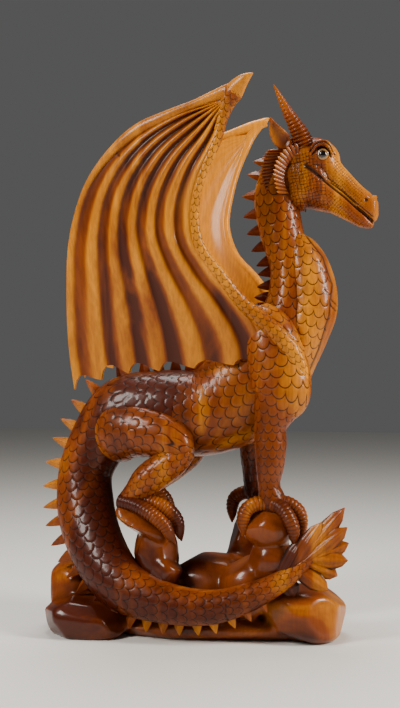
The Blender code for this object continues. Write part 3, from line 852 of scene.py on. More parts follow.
def varnished_wood(name, scaled=False, grain=(9.0, 9.0, 2.2), gold_share=0.5, coat=0.25, roughness=0.42):
    """Oiled and varnished hardwood: gold sapwood and brown heart figure under a clear, glossy coat."""
    look = colours()
    chestnut, hollow_shade = (*look.chestnut, 1), (*look.hollow_shade, 1)
    material, tree, shader = blank_material(name)
    sum_of = sums_in(tree)
    place = node(tree, "ShaderNodeTexCoord").outputs["Object"]

    def noise(scale, detail, **more):
        """Noise stretched by a scale along each axis, in waves a metre."""
        spread = node(tree, "ShaderNodeMapping", {"Vector": place, "Scale": scale}).outputs[0]
        links = {"Vector": spread, "Scale": 1.0, "Detail": detail, **more}
        return node(tree, "ShaderNodeTexNoise", links).outputs["Fac"]

    figure = noise(grain, 4.0, Roughness=0.55, Distortion=0.9)
    # Fibres a few millimetres apart, drawn coarser than the real ones so that they show.
    fibres = noise((230.0, 230.0, 14.0), 2.0)
    share, tone = pair_of(tree, "finish")
    hollow, _ = pair_of(tree, "depths")
    toned = sum_of("ADD", figure, sum_of("MULTIPLY", tone, TONE_STEP))
    ramp = node(tree, "ShaderNodeValToRGB", {"Fac": toned})
    stops = ramp.color_ramp.elements
    stops[0].position, stops[0].color = 0.30, chestnut
    stops[1].position, stops[1].color = 0.82 - 0.24 * gold_share, (*look.gold, 1)
    stops.new(0.50 - 0.08 * gold_share).color = (*look.amber, 1)
    wood = mix_colours(tree, remap(tree, fibres, 0.35, 0.65, 0.0, 0.2), ramp.outputs["Color"], chestnut)
    # Painted shade darkens the hollows towards the near black colour.
    wood = mix_colours(tree, remap(tree, hollow, 0.0, 1.0, 0.0, 0.85), wood, hollow_shade)
    rough = remap(tree, hollow, 0.0, 1.0, roughness, roughness + 0.25)
    bump_from = sum_of("MULTIPLY", fibres, 0.08)
    if scaled:
        groove, own = scale_pattern(tree)
        cut_here = sum_of("MULTIPLY", groove, share)
        shade = sum_of("MULTIPLY", remap(tree, own, 0.0, 1.0, 0.0, 0.22, "LINEAR"), share)
        wood = mix_colours(tree, shade, wood, chestnut)
        # Painted shade in the groove round each scale.
        wood = mix_colours(tree, sum_of("MULTIPLY", cut_here, 0.88), wood, hollow_shade)
        bump_from = sum_of("SUBTRACT", bump_from, cut_here)
    bump = node(tree, "ShaderNodeBump", {"Strength": 0.55, "Distance": 0.0009, "Height": bump_from})
    varnish = {"IOR": 1.5, "Specular IOR Level": 0.12, "Coat Weight": coat, "Coat Roughness": 0.16}
    plug(tree, shader, {"Base Color": wood, "Roughness": rough, "Normal": bump.outputs[0], **varnish})
    return material


def lacquer(name, base, roughness):
    """Painted eye: an even colour under gloss lacquer."""
    material, tree, shader = blank_material(name)
    place = node(tree, "ShaderNodeTexCoord").outputs["Object"]
    specks = node(tree, "ShaderNodeTexNoise", {"Vector": place, "Scale": 400.0, "Detail": 2.0}).outputs["Fac"]
    darker = tuple(c * 0.8 for c in base)
    worn = mix_colours(tree, specks, (*base, 1), (*darker, 1))
    gloss = {"Coat Weight": 0.8, "Coat Roughness": 0.05}
    plug(tree, shader, {"Base Color": worn, "Roughness": roughness, **gloss})
    return material


def finish_named(name, make, **settings):
    """A finish made once and shared by the pieces that have it."""
    return bpy.data.materials.get(name) or make(name, **settings)


def scaled_wood():
    return finish_named("varnished_scaled_wood", varnished_wood, scaled=True)


def smooth_wood():
    return finish_named("varnished_smooth_wood", varnished_wood, grain=(7.0, 7.0, 1.6), gold_share=0.75)


def rock_wood():
    look = {"grain": (6.0, 6.0, 9.0), "gold_share": 0.3, "coat": 0.45, "roughness": 0.34}
    return finish_named("varnished_rock_wood", varnished_wood, **look)


# Repeated forms by geometry nodes


def group_named(name, sockets):
    """A node group that takes a mesh and the named sockets, with the node that gives them."""
    tree = bpy.data.node_groups.new(name, "GeometryNodeTree")
    tree.interface.new_socket(name="Geometry", in_out="OUTPUT", socket_type="NodeSocketGeometry")
    for socket, kind in {"Geometry": "Geometry", **sockets, "Finish": "Material"}.items():
        tree.interface.new_socket(name=socket, in_out="INPUT", socket_type=f"NodeSocket{kind}")
    return tree, node(tree, "NodeGroupInput").outputs


def give(tree, geometry, finish_socket):
    """Ends a group: its geometry made real, in its finish."""
    real = node(tree, "GeometryNodeRealizeInstances", {"Geometry": geometry})
    dressed = node(tree, "GeometryNodeSetMaterial", {"Geometry": real.outputs[0], "Material": finish_socket})
    node(tree, "NodeGroupOutput", {"Geometry": dressed.outputs[0]})
    return tree


def grown(obj, tree, values):
    """Runs a group on an object with its inputs' values, and keeps what it makes."""
    modifier = obj.modifiers.new("grown", "NODES")
    modifier.node_group = tree
    sockets = {s.name: s.identifier for s in tree.interface.items_tree if s.in_out == "INPUT"}
    for name, value in values.items():
        modifier[sockets[name]] = value
    return baked(obj)


def row_of_spikes_tree():
    """Sets one spike on each point of a row, turned and sized by the point's own values."""
    tree, given = group_named("row_of_spikes", {"Spike": "Object"})
    kind = "GeometryNodeInputNamedAttribute"
    turn, size = (
        node(tree, kind, {"Name": name}, data_type="FLOAT_VECTOR").outputs["Attribute"]
        for name in ("turn", "grow")
    )
    spike = node(tree, "GeometryNodeObjectInfo", {"Object": given["Spike"]})
    points = node(tree, "GeometryNodeMeshToPoints", {"Mesh": given["Geometry"]})
    euler = node(tree, "FunctionNodeEulerToRotation", {"Euler": turn})
    links = {"Points": points.outputs[0], "Instance": spike.outputs["Geometry"], "Rotation": euler.outputs[0]}
    placed = node(tree, "GeometryNodeInstanceOnPoints", {**links, "Scale": size})
    return give(tree, placed.outputs[0], given["Finish"])


def ringed_horn_tree():
    """A tapering horn with rings along a path, and a smooth tip."""
    numbers = dict.fromkeys(("Radius", "Rings", "Ring Depth", "Ringed Share"), "Float")
    tree, given = group_named("ringed_horn", {**numbers, "Rows": "Int"})
    sum_of = sums_in(tree)
    path = node(tree, "GeometryNodeMeshToCurve", {"Mesh": given["Geometry"]})
    even = node(tree, "GeometryNodeResampleCurve", {"Curve": path.outputs[0], "Count": given["Rows"]})
    share = node(tree, "GeometryNodeSplineParameter").outputs["Factor"]
    left = sum_of("SUBTRACT", 1.0, sum_of("MULTIPLY", share, 0.96))
    taper = sum_of("MULTIPLY", sum_of("POWER", left, 0.9), given["Radius"])
    ringed = sum_of("DIVIDE", share, given["Ringed Share"])
    turns = sum_of("MULTIPLY", sum_of("MULTIPLY", ringed, given["Rings"]), 2 * math.pi)
    crest = sum_of("ABSOLUTE", sum_of("COSINE", sum_of("MULTIPLY", turns, 0.5)))
    wave = sum_of("SUBTRACT", crest, 0.6)
    inside = sum_of("LESS_THAN", ringed, 1.0)
    swell = sum_of("MULTIPLY", sum_of("MULTIPLY", wave, given["Ring Depth"]), inside)
    radius = sum_of("MULTIPLY", taper, sum_of("ADD", swell, 1.0))
    sized = node(tree, "GeometryNodeSetCurveRadius", {"Curve": even.outputs[0], "Radius": radius})
    ring = node(tree, "GeometryNodeCurvePrimitiveCircle", {"Resolution": 32, "Radius": 1.0})
    by_radius = node(tree, "GeometryNodeInputRadius").outputs[0]
    links = {"Curve": sized.outputs[0], "Profile Curve": ring.outputs[0], "Scale": by_radius}
    skin = node(tree, "GeometryNodeCurveToMesh", {**links, "Fill Caps": True})
    return give(tree, skin.outputs[0], given["Finish"])


def in_one_tone(obj, tone):
    mark_finish(obj, np.full(len(obj.data.vertices), tone))


# Pieces


def sided(stations, far, shift=0.0, lift=0.0):
    return mirrored(stations, shift, lift) if far else stations


def toe(points):
    """A toe with fine ribs across it, ending in a smooth claw."""
    path = np.array(points, dtype=float)
    tip = path[-1] + unit(path[-1] - path[-2]) * CLAW_LENGTH
    radii = np.array(TOE_SHAPE) * TOE_RADIUS
    stations = [(*p, r, r) for p, r in zip([*path, tip], radii)]
    length = length_of(np.array([s[:3] for s in stations]))[-1]
    rows = int(length / 1.3)
    share = np.linspace(0, 1, rows)
    ribs = near_whole(share * length / drawn(sizes().toe_rib) + 0.5) * 2
    ribbed = 1 - step_up(share, 0.78, 0.86)
    swell = 1 + 0.12 * (ribs**0.6 - 0.75) * ribbed
    # Painted shade between the ribs.
    hollow = np.clip(1 - 2.2 * ribs, 0, 1) * ribbed * 0.8
    return plain_limb(stations, rows, TOE_SIDES, swell, TOE_TONE, hollow)


def shortened(points):
    """A toe of the far hind foot, which drops steeply over the edge of its rock."""
    return [(FAR_HIND_HEEL + (x - FAR_HIND_HEEL) * FAR_HIND_REACH, -y, z) for x, y, z in points]


def web(arm_stations, rim_stations, rows, per_flute, share=1.0):
    """The wing's web: crests and scooped flutes outside, smooth inside, with points along its lower edge.

    share is how much of its length to make.
    """
    flutes = len(CRESTS_ABOVE) - 1
    columns = flutes * per_flute + 1
    arm = smooth(arm_stations, 400)[int(WEB_FROM * 400) :]
    rim = smooth(rim_stations, 400)
    near = -1.0 if arm[0, 1] < 0 else 1.0
    q = np.linspace(0, flutes, columns)
    s = np.linspace(0, 1, rows)[:, None]
    above, below = (np.interp(q, np.arange(flutes + 1), crests) for crests in (CRESTS_ABOVE, CRESTS_BELOW))
    t = above + (below - above) * step_up(s, CRESTS_SPREAD_FROM, 1.0)
    notch = np.interp(q % 1.0, *zip(*NOTCH)) * (1 - 0.5 * below)
    short = (EDGE_RISE * step_up(below, 0.0, 0.25) + SCALLOP * notch) / EDGE_DRAWN_ON
    reach = share * s * (1 - short[None, :] * s**3)

    def along(path, places):
        at = np.linspace(0, 1, len(path))
        return np.stack([np.interp(places, at, path[:, k]) for k in range(path.shape[1])], axis=-1)

    at_rim, at_arm = along(rim, reach), along(arm, reach)
    skin = at_rim * (1 - t)[..., None] + at_arm[..., :3] * t[..., None]
    bow = WEB_BULGE * np.sin(math.pi * t) * np.sin(math.pi * reach)
    skin[..., 1] += near * bow
    scooped = np.interp(q % 1.0, *zip(*FLUTE))
    scooped = np.convolve(np.pad(scooped, 1, mode="edge"), (0.25, 0.5, 0.25), mode="valid")
    scoop = (1 - scooped)[None, :] * np.clip(s * 12, 0, 1) * np.where(q > flutes - 1, 0.15, 1.0)
    scoop = scoop * (1 - 0.15 * step_up(s, 0.45, 0.9))
    wall = WEB_WALL_AT_RIM + (WEB_WALL - WEB_WALL_AT_RIM) * t
    to_arm = step_up(t, 0.8, 1.0)
    inside = wall / 2 * (1 - to_arm) + at_arm[..., 4] * to_arm
    out = np.array((0.0, near, 0.0))
    outer = skin + (wall / 2 - FLUTE_DEPTH * scoop * wall / WEB_WALL)[..., None] * out
    inner = skin - (inside - 0.5 * scoop)[..., None] * out
    marks = np.zeros((rows, columns, MARKS))
    # Painted highlight on the crests and painted shade in the flutes: the tone falls further in the flutes
    # towards the lower edge, and the shade is deepest in the upper part.
    marks[..., TONE] = 0.8 - (1.3 + 0.6 * s) * step_up(scoop, 0.15, 0.8)
    marks[..., HOLLOW] = 0.75 * scoop**2 * (1 - 0.7 * step_up(s, 0.2, 0.6))
    made = slab(outer, inner, marks)
    # Painted light on the inner side of the web.
    made.marks[rows * columns :, TONE] = WEB_INSIDE_LIT_TONE
    return made


def frill(root, tip):
    """A pleated fan between two arcs, with a point at the end of each rib."""
    columns = 10 * FRILL_RIBS + 1
    rib = 2 * near_whole(np.linspace(0, FRILL_RIBS, columns))
    out = np.linspace(0, 1, 26)[:, None]
    reach = (out * (1 - FRILL_TOOTH * (1 - rib) * out))[..., None]
    skin = smooth(root, columns)[None] * (1 - reach) + smooth(tip, columns)[None] * reach
    near = np.array((0.0, math.copysign(1.0, root[0][1]), 0.0))
    wall = FRILL_WALL * (1 - 0.6 * out)
    pleat = 2.0 * np.sin(rib * math.pi / 2) * (0.35 + 0.65 * out)
    outer = skin + (wall / 2 + pleat - 2)[..., None] * near
    inner = skin - (wall / 2)[..., None] * near
    marks = np.zeros((*skin.shape[:2], MARKS))
    # Painted light on the pleats: each rib's crest is lighter, and painted shade darkens between the ribs.
    marks[..., TONE] = -1.0 + 0.5 * rib
    marks[..., HOLLOW] = 0.5 * (1 - rib) ** 2
    return slab(outer, inner, marks)


def leaf(root, tip):
    """A pointed leaf with a ridge down its middle and a cut vein on each side of it."""
    rows, sides = 48, 40
    share = np.linspace(0, 1, rows)
    centre = root + (tip - root) * share[:, None]
    ahead = unit(tip - root)
    across = np.array((0.0, 1.0, 0.0))
    side = unit(across - (ahead @ across) * ahead)
    in_plane = np.cross(ahead, side)
    half = LEAF_WIDTH * np.interp(share, (0, 0.25, 0.6, 0.85, 1), (0.66, 0.82, 0.86, 0.56, 0.04))
    thick = LEAF_WALL * np.interp(share, (0, 0.6, 1), (1, 1.1, 0.2))
    angle = round_ring(sides)
    flat = np.cos(angle)[None, :]
    lens = np.sign(np.sin(angle)) * (1 - np.abs(np.cos(angle))) ** 0.75
    veins = np.exp(-(((np.abs(flat) - 0.38) / 0.1) ** 2))
    fade = np.sin(math.pi * np.clip(share * 0.92 + 0.05, 0, 1))[:, None]
    rings = (
        centre[:, None]
        + (half[:, None] * flat)[..., None] * in_plane
        + (thick[:, None] * 1.25 * lens[None, :] * (1 - 0.3 * veins * fade))[..., None] * side
    )
    marks = np.zeros((rows * sides + 2, MARKS))
    marks[:, TONE] = LEAF_TONE
    # Painted shade along the veins and round the edges.
    edge = step_up(np.abs(flat), 0.62, 0.95)
    marks[:-2, HOLLOW] = (np.clip(0.45 * veins + 1.2 * edge, 0, 0.9) * fade).ravel()
    return closed_tube(rings, centre, marks)


def rock(place, seed, depths):
    """A lump with flat facets, cut off flat where it meets the ground. depths is how deep the facets go."""
    x, y, z, a, b, c, lean, square = place
    facets = np.random.default_rng(seed)
    shape = bmesh.new()
    bmesh.ops.create_icosphere(shape, subdivisions=5, radius=1.0)
    points = np.array([v.co[:] for v in shape.verts])
    faces = [[v.index for v in face.verts] for face in shape.faces]
    shape.free()
    points = points / (np.abs(points) ** square).sum(axis=1, keepdims=True) ** (1 / square)
    directions = unit(facets.normal(size=(ROCK_FACETS, 3)))
    for direction, limit in zip(directions, facets.uniform(*depths, ROCK_FACETS)):
        over = np.maximum(points @ direction - limit, 0.0)
        points = points - over[:, None] * direction
    turn = math.radians(lean)
    points = points * (a, b, c)
    ahead = points[:, 0] * math.cos(turn) + points[:, 2] * math.sin(turn)
    up = points[:, 2] * math.cos(turn) - points[:, 0] * math.sin(turn)
    points = np.stack([ahead + x, points[:, 1] + y, np.maximum(up + z, DRAWN_GROUND)], axis=-1)
    return Shape(points, faces, np.zeros((len(points), MARKS)))


def to_line(x, z, line):
    """Distance of each point from a drawn line, and the share of the line where it is nearest."""
    knots = np.array(line, dtype=float)
    lengths = length_of(knots)
    best = np.full(len(x), 1e9)
    share = np.zeros(len(x))
    for i, ((x0, z0), (x1, z1)) in enumerate(zip(knots[:-1], knots[1:])):
        dx, dz = x1 - x0, z1 - z0
        t = np.clip(((x - x0) * dx + (z - z0) * dz) / (dx * dx + dz * dz), 0, 1)
        off = np.hypot(x - x0 - t * dx, z - z0 - t * dz)
        nearer = off < best
        best = np.where(nearer, off, best)
        share = np.where(nearer, (lengths[i] + t * (lengths[i + 1] - lengths[i])) / lengths[-1], share)
    return best, share


def cut(off, width, depth):
    """Depth of a V cut at a distance from its line."""
    return depth * np.exp(-((off / width) ** 2))


def breast_band(obj):
    """Cuts the line that sets off the smooth band down the front of the breast, with its two cross cuts."""
    x, _, z = drawn_places(obj)
    off, share = to_line(x, z, BREAST_LINE)
    facing = step_up(x, 190, 200) * step_up(np.abs(normals(obj.data)[:, 1]), 0.05, 0.25)
    cuts = cut(off, 1.7, 1.0) * step_up(share, 0.0, 0.05)
    for line in BREAST_CROSS_CUTS:
        off_cross, _ = to_line(x, z, line)
        cuts = np.maximum(cuts, cut(off_cross, 1.5, 1.0))
    cuts = cuts * facing
    pushed(obj, -1.3 * cuts)
    # Painted shade in the cuts.
    return 0.9 * cuts


def grid_of_cuts(x, z, turn, pitch):
    """How deep two crossing sets of thin cuts are, 0 to 1, turned from level by an angle."""
    ahead = (x * math.cos(turn) + z * math.sin(turn)) / pitch
    up = (z * math.cos(turn) - x * math.sin(turn)) / pitch
    wavy = 0.16 * np.sin(ahead * 0.9) + 0.1 * np.sin(up * 1.7 + ahead)
    return np.maximum((1 - 2 * near_whole(ahead + wavy)) ** 5, (1 - 2 * near_whole(up - wavy)) ** 5)


def head_carving(obj):
    """Cuts the mouth, lips, lids, nostrils and hatching into the head."""
    x, _, z = drawn_places(obj)
    facing = step_up(np.abs(normals(obj.data)[:, 1]), 0.15, 0.5)
    off_mouth, mouth_share = to_line(x, z, MOUTH_LINE)
    off_lip, off_outer, off_inner, off_fold = (
        to_line(x, z, line)[0] for line in (LIP_LINE, OUTER_LID, INNER_LID, CHEEK_FOLD)
    )
    off_eye = np.hypot(x - EYE_PLACE[0], z - EYE_PLACE[2])
    off_nostril = np.hypot(x - NOSTRIL_CUT[0], z - NOSTRIL_CUT[1])
    wide = 4.2 - 2.2 * step_up(mouth_share, 0.0, 0.3)
    cuts = cut(off_mouth, wide, 4.5) + cut(off_lip, 1.5, 1.3)
    cuts += cut(off_outer, 2.1, 3.0) + cut(off_inner, 1.8, 2.8) + cut(off_fold, 1.8, 0.4)
    cuts += 3.0 * (1 - step_up(off_eye, 9, 12)) + cut(off_nostril, 3.2, 3.5)
    pitch = drawn(sizes().hatch)
    mouth = np.interp(x, *zip(*MOUTH_LINE))
    under = (z < mouth).astype(float)
    clear = step_up(off_mouth, 3, 6) * step_up(off_eye, 14, 18) * step_up(off_outer, 2, 4)
    cheek = (1 - step_up(x, 236, 250)) * step_up(x, 172, 178) * (1 - step_up(z, 878, 890))
    snout = step_up(x, 246, 258) * (1 - step_up(x, 304, 314)) * (1 - under) * 0.8
    jaw = step_up(x, 236, 250) * step_up(mouth - z, 9, 13) * 0.8
    hatch = cheek * grid_of_cuts(x, z, 0.16, pitch)
    hatch += (snout + jaw) * grid_of_cuts(x, z, -0.8, pitch * 0.8)
    hatch *= clear * facing
    pushed(obj, -cuts * facing - 0.8 * hatch)
    # Painted shade in the cuts and the hatching.
    cut_shade = np.clip(cuts / 3.0 * facing + 0.7 * hatch, 0, 1)
    # A painted highlight lightens the snout, painted shade darkens the jaw below the mouth, and the back of the
    # head is a little darker.
    tone = 0.9 * step_up(x, 235, 262) * (1 - 0.4 * under) - 0.1 * (1 - step_up(x, 225, 250))
    mark_finish(obj, tone)
    return cut_shade


def dome(place, far, radius, depth):
    """A low dome that stands out from the head, EYE_BURIED deep behind its rim."""
    x, y, z = place
    out = 1.0 if far else -1.0
    turn = np.linspace(0, 1, 14) * math.pi / 2
    angle = round_ring(EYE_SIDES)
    r, h = radius * np.sin(turn)[:, None], depth * np.cos(turn)[:, None]
    rings = np.stack([x + r * np.cos(angle), y + out * (h + 0 * angle), z + r * np.sin(angle)], axis=-1)[1:]
    rings = np.concatenate([rings, rings[-1:] - np.array((0.0, out * EYE_BURIED, 0.0))])
    ends = np.array([(x, y + out * depth, z), (x, y - out * EYE_BURIED, z)])
    return closed_tube(rings, ends, np.zeros((rings.shape[0] * EYE_SIDES + 2, MARKS)))


def wing(name, far):
    """One wing: its web, its arm down to the shoulder, the claw at the top and the bone along the rim."""
    arm = FAR_ARM if far else ARM
    rim, bone = sided(RIM, far, *FAR_RIM_SHIFT), sided(RIM_BONE, far, *FAR_RIM_SHIFT)
    to_shoulder = [*arm[:ARM_STATIONS_TO_SHOULDER], *sided(SHOULDER, far, FAR_SHOULDER_SHIFT)]
    claw = smooth(to_shoulder, 400)[: int(CLAW_SHARE * 400) + 3]
    # The far wing's arm, claw and bone take the painted light of the far wing.
    arm_tone, claw_tone, bone_tone = [FAR_WING_LIT_TONE] * 3 if far else (ARM_TONE, CLAW_TONE, BONE_TONE)
    step, outer = drawn(sizes().skin_step) * 0.9, 1 if far else -1
    shapes = [
        web(arm, rim, 190, 20, FAR_WEB_REACH if far else 1.0),
        limb(to_shoulder, step, (CLAW_SHARE, 1.0), plain=BARE_NOWHERE, tone=arm_tone, outer=outer),
        plain_limb(claw, 40, 24, tone=claw_tone),
        plain_limb(bone, 150, 24, tone=bone_tone),
    ]
    made = carved_as_one(name, shapes)
    shade_hollows(made, 0.004, None if far else cracked(made, WING_CRACK))
    finish(made, scaled_wood(), sharp=CUTS_SHARP)


def cracked(obj, line):
    """Opens a narrow crack along a line on the near side, and says how dark each point of it is."""
    x, _, z = drawn_places(obj)
    off, share = to_line(x, z, line)
    facing = step_up(-normals(obj.data)[:, 1], 0.1, 0.4)
    crack = np.exp(-((off / 1.6) ** 2)) * facing * step_up(share, 0.0, 0.1) * (1 - step_up(share, 0.9, 1.0))
    pushed(obj, -1.5 * crack)
    # Painted shade in the crack.
    return crack


def ear(far):
    """A pointed ear, hollowed on its outer side."""
    rows, sides = 44, 40
    shape = plain_limb(sided(EAR, far), rows, sides, tone=EAR_TONE)
    out = 1.0 if far else -1.0
    centre = smooth(sided(EAR, far), rows)
    rings = shape.points[:-2].reshape(rows, sides, 3)
    off = rings - centre[:, None, :3]
    outward = np.clip(off[..., 1] * out / np.maximum(centre[:, 4, None], 1.0), 0.0, 1.0)
    share = np.linspace(0, 1, rows)[:, None]
    hollow = outward**2 * step_up(share, 0.1, 0.3) * (1 - step_up(share, 0.8, 0.97))
    rings[..., 1] -= out * hollow * centre[:, 4, None] * 1.5
    # Painted shade in the hollow.
    shape.marks[:-2, HOLLOW] = (0.75 * hollow).ravel()
    return shape


def spike():
    """One spike of unit height: a thorn with hollow faces whose point leans towards the tail."""
    rows = sides = 8
    up = np.linspace(0, 1, rows)
    half = (1 - up**1.4) ** 0.85
    angle = round_ring(sides)
    long = np.where(np.arange(sides) % 2 == 0, 1.0, 0.72)
    lean = 0.3 * up[:, None] ** 1.5
    x = half[:, None] * long * np.cos(angle) + lean
    y = half[:, None] * long * np.sin(angle) * 0.8
    z = up[:, None] + 0 * angle
    rings = np.stack([x, y, z], axis=-1)[:-1]
    points = np.concatenate([rings.reshape(-1, 3), [(0, 0, 0)], [(0.3, 0, 1)]])
    return points, tube_faces(rows - 1, sides)


class CarvePiece:
    """What every carving operator shares."""

    bl_options = {"REGISTER"}


class DRAGON_OT_body(CarvePiece, bpy.types.Operator):
    """Carve the neck, breast and trunk"""

    bl_idname = "dragon.body"
    bl_label = "Neck, breast and trunk"

    def execute(self, context):
        step = drawn(sizes().skin_step)
        spine = limb(SPINE, step, (0.0, TAIL_STARTS), tone=NECK_AND_TRUNK_TONES, sides=SPINE_SIDES)
        breast = limb(BREAST, step, plain=(0.0, 0.5), tone=BREAST_TONE)
        made = carved_as_one("neck_and_trunk", [spine, breast])
        shade_hollows(made, 0.004, breast_band(made))
        finish(made, scaled_wood(), sharp=SCALES_SHARP)
        return {"FINISHED"}


class DRAGON_OT_tail(CarvePiece, bpy.types.Operator):
    """Carve the coiled tail"""

    bl_idname = "dragon.tail"
    bl_label = "Tail"

    def execute(self, context):
        step = drawn(sizes().tail_step)
        tail = limb(SPINE, step, (TAIL_STARTS, 1.0), tone=TAIL_TONES, sides=SPINE_SIDES)
        made = mesh_object("tail", tail)
        shade_hollows(made, 0.0, cracked(made, TAIL_CRACK))
        finish(made, scaled_wood(), sharp=SCALES_SHARP)
        return {"FINISHED"}


class DRAGON_OT_legs(CarvePiece, bpy.types.Operator):
    """Carve the legs"""

    bl_idname = "dragon.legs"
    bl_label = "Legs"

    def execute(self, context):
        step = drawn(sizes().skin_step)
        front, hind = [], []
        for far in (False, True):
            front_leg = sided(FRONT_LEG, far, FAR_FRONT_LEG_SHIFT)
            front.append(limb(front_leg, step, plain=BARE_NOWHERE, tone=FRONT_LEG_TONES))
            hind.append(limb(sided(THIGH, far, FAR_HIND_LEG_SHIFT), step, plain=BARE_NOWHERE, turn=0.9))
            hind.append(limb(sided(SHANK, far, FAR_HIND_LEG_SHIFT), step, plain=BARE_NOWHERE))
        finish(together("front_legs", front), scaled_wood(), sharp=SCALES_SHARP)
        made = carved_as_one("hind_legs", hind)
        shade_hollows(made, 0.004)
        finish(made, scaled_wood(), sharp=SCALES_SHARP)
        return {"FINISHED"}


class DRAGON_OT_feet(CarvePiece, bpy.types.Operator):
    """Carve the ribbed toes and their claws"""

    bl_idname = "dragon.feet"
    bl_label = "Feet"

    def execute(self, context):
        paths = [sided(points, far, FAR_FRONT_LEG_SHIFT) for far in (False, True) for points in FRONT_TOES]
        front = [toe(path) for path in paths]
        finish(together("front_feet", front), smooth_wood(), sharp=SCALES_SHARP)
        hind = [toe(points) for points in (*HIND_TOES, *map(shortened, HIND_TOES))]
        finish(together("hind_feet", hind), smooth_wood(), sharp=SCALES_SHARP)
        return {"FINISHED"}


class DRAGON_OT_head(CarvePiece, bpy.types.Operator):
    """Carve the head with its mouth, lids and hatched cheeks"""

    bl_idname = "dragon.head"
    bl_label = "Head"

    def execute(self, context):
        shapes = [plain_limb(stations, 90, 64) for stations in (SKULL, JAW, CHEEK, MUZZLE)]
        for far in (False, True):
            shapes.append(plain_limb(sided(BROW, far), 24, 16))
            shapes.append(ball(sided([NOSTRIL_PLACE], far)[0], NOSTRIL_RADIUS, 0.8))
        made = remeshed(together("head", shapes), sizes().head_step)
        softened(made, 4)
        shade_hollows(made, 0.012, head_carving(made))
        finish(made, smooth_wood())
        return {"FINISHED"}


class DRAGON_OT_eyes(CarvePiece, bpy.types.Operator):
    """Set the eyes"""

    bl_idname = "dragon.eyes"
    bl_label = "Eyes"

    def execute(self, context):
        look = colours()
        for name, shape, paint, base, roughness in (
            ("eye_rings", EYE_RING, "pale_eye_lacquer", look.eye_pale, 0.25),
            ("pupils", PUPIL, "black_eye_lacquer", look.eye_black, 0.12),
        ):
            domes = [dome(sided([EYE_PLACE], far)[0], far, *shape) for far in (False, True)]
            finish(together(name, domes), finish_named(paint, lacquer, base=tuple(base), roughness=roughness))
        return {"FINISHED"}


class DRAGON_OT_horns(CarvePiece, bpy.types.Operator):
    """Carve the ringed horns"""

    bl_idname = "dragon.horns"
    bl_label = "Horns"

    def execute(self, context):
        tree = ringed_horn_tree()
        for name, far in (("near_horn", False), ("far_horn", True)):
            path = in_place(smooth(sided(HORN_PATH, far), 60))
            mesh = bpy.data.meshes.new(name)
            mesh.from_pydata(path.tolist(), [(i, i + 1) for i in range(len(path) - 1)], [])
            rings = {"Rings": float(HORN_RINGS), "Ring Depth": 0.24, "Ringed Share": 0.9, "Rows": 200}
            values = {"Radius": HORN_RADIUS * UNIT, **rings, "Finish": smooth_wood()}
            made = grown(linked(name, mesh), tree, values)
            add_layers(made.data)
            in_one_tone(made, HORN_TONE)
            shade_hollows(made, 0.004, rounds=1)
            finish(made, smooth_wood(), sharp=60)
        return {"FINISHED"}


class DRAGON_OT_frill(CarvePiece, bpy.types.Operator):
    """Carve the ears and the pleated frill behind the cheeks"""

    bl_idname = "dragon.frill"
    bl_label = "Ears and frill"

    def execute(self, context):
        finish(together("ears", [ear(False), ear(True)]), smooth_wood())
        tiers = [(far, *tier) for far in (False, True) for tier in FRILL_TIERS]
        fans = [frill(sided(root, far), sided(tip, far)) for far, root, tip in tiers]
        finish(together("frill", fans), smooth_wood(), sharp=CUTS_SHARP)
        return {"FINISHED"}


class DRAGON_OT_wings(CarvePiece, bpy.types.Operator):
    """Carve both raised wings"""

    bl_idname = "dragon.wings"
    bl_label = "Wings"

    def execute(self, context):
        wing("near_wing", False)
        wing("far_wing", True)
        return {"FINISHED"}


class DRAGON_OT_spikes(CarvePiece, bpy.types.Operator):
    """Set the row of spikes down the back and the tail"""

    bl_idname = "dragon.spikes"
    bl_label = "Back spikes"

    def execute(self, context):
        path = smooth(SPINE, 600)
        centre = path[:, :3]
        ahead, _, inner = axes_along(centre)
        length = length_of(centre)[-1]
        pitch = drawn(sizes().spike_pitch)
        places, turns, grows = [], [], []
        for reach in np.arange(SPIKES_FROM_NAPE, length - SPIKES_TO_TIP, pitch):
            k = int(reach / length * (len(path) - 1))
            tall = float(np.interp(reach / length, *zip(*SPIKE_LENGTHS)))
            half = pitch * SPIKE_BASE * min(1.0, tall / 20)
            out = -inner[k]
            places.append(centre[k] + out * (path[k, 3] - SPIKE_ROOT))
            axes = np.stack([ahead[k], np.cross(out, ahead[k]), out], axis=1)
            turns.append(Matrix(axes.tolist()).to_euler()[:])
            grows.append((half * UNIT, half * UNIT, (tall + SPIKE_ROOT) * UNIT))
        row = bpy.data.meshes.new("back_spikes")
        row.from_pydata(in_place(places).tolist(), [], [])
        for name, values in (("turn", turns), ("grow", grows)):
            layer = row.attributes.new(name, "FLOAT_VECTOR", "POINT")
            layer.data.foreach_set("vector", np.array(values, np.float32).ravel())
        points, faces = spike()
        one = bpy.data.meshes.new("one_spike")
        one.from_pydata(points.tolist(), [], faces)
        pattern = bpy.data.objects.new("one_spike", one)
        values = {"Spike": pattern, "Finish": smooth_wood()}
        made = grown(linked("back_spikes", row), row_of_spikes_tree(), values)
        bpy.data.objects.remove(pattern)
        add_layers(made.data)
        in_one_tone(made, SPIKE_TONE)
        finish(made, smooth_wood(), sharp=35)
        return {"FINISHED"}


class DRAGON_OT_fin(CarvePiece, bpy.types.Operator):
    """Carve the leaves of the tail fin"""

    bl_idname = "dragon.fin"
    bl_label = "Tail fin"

    def execute(self, context):
        first, last = np.array(FIN_ROOT, dtype=float)
        leaves = []
        for i, (x, z, share) in enumerate(FIN_LEAVES):
            root = first + (last - first) * share
            tip = np.array((x, root[1] + 5 - 7 * (i % 2), z))
            leaves.append(leaf(root, tip))
        finish(together("tail_fin", leaves), smooth_wood())
        return {"FINISHED"}


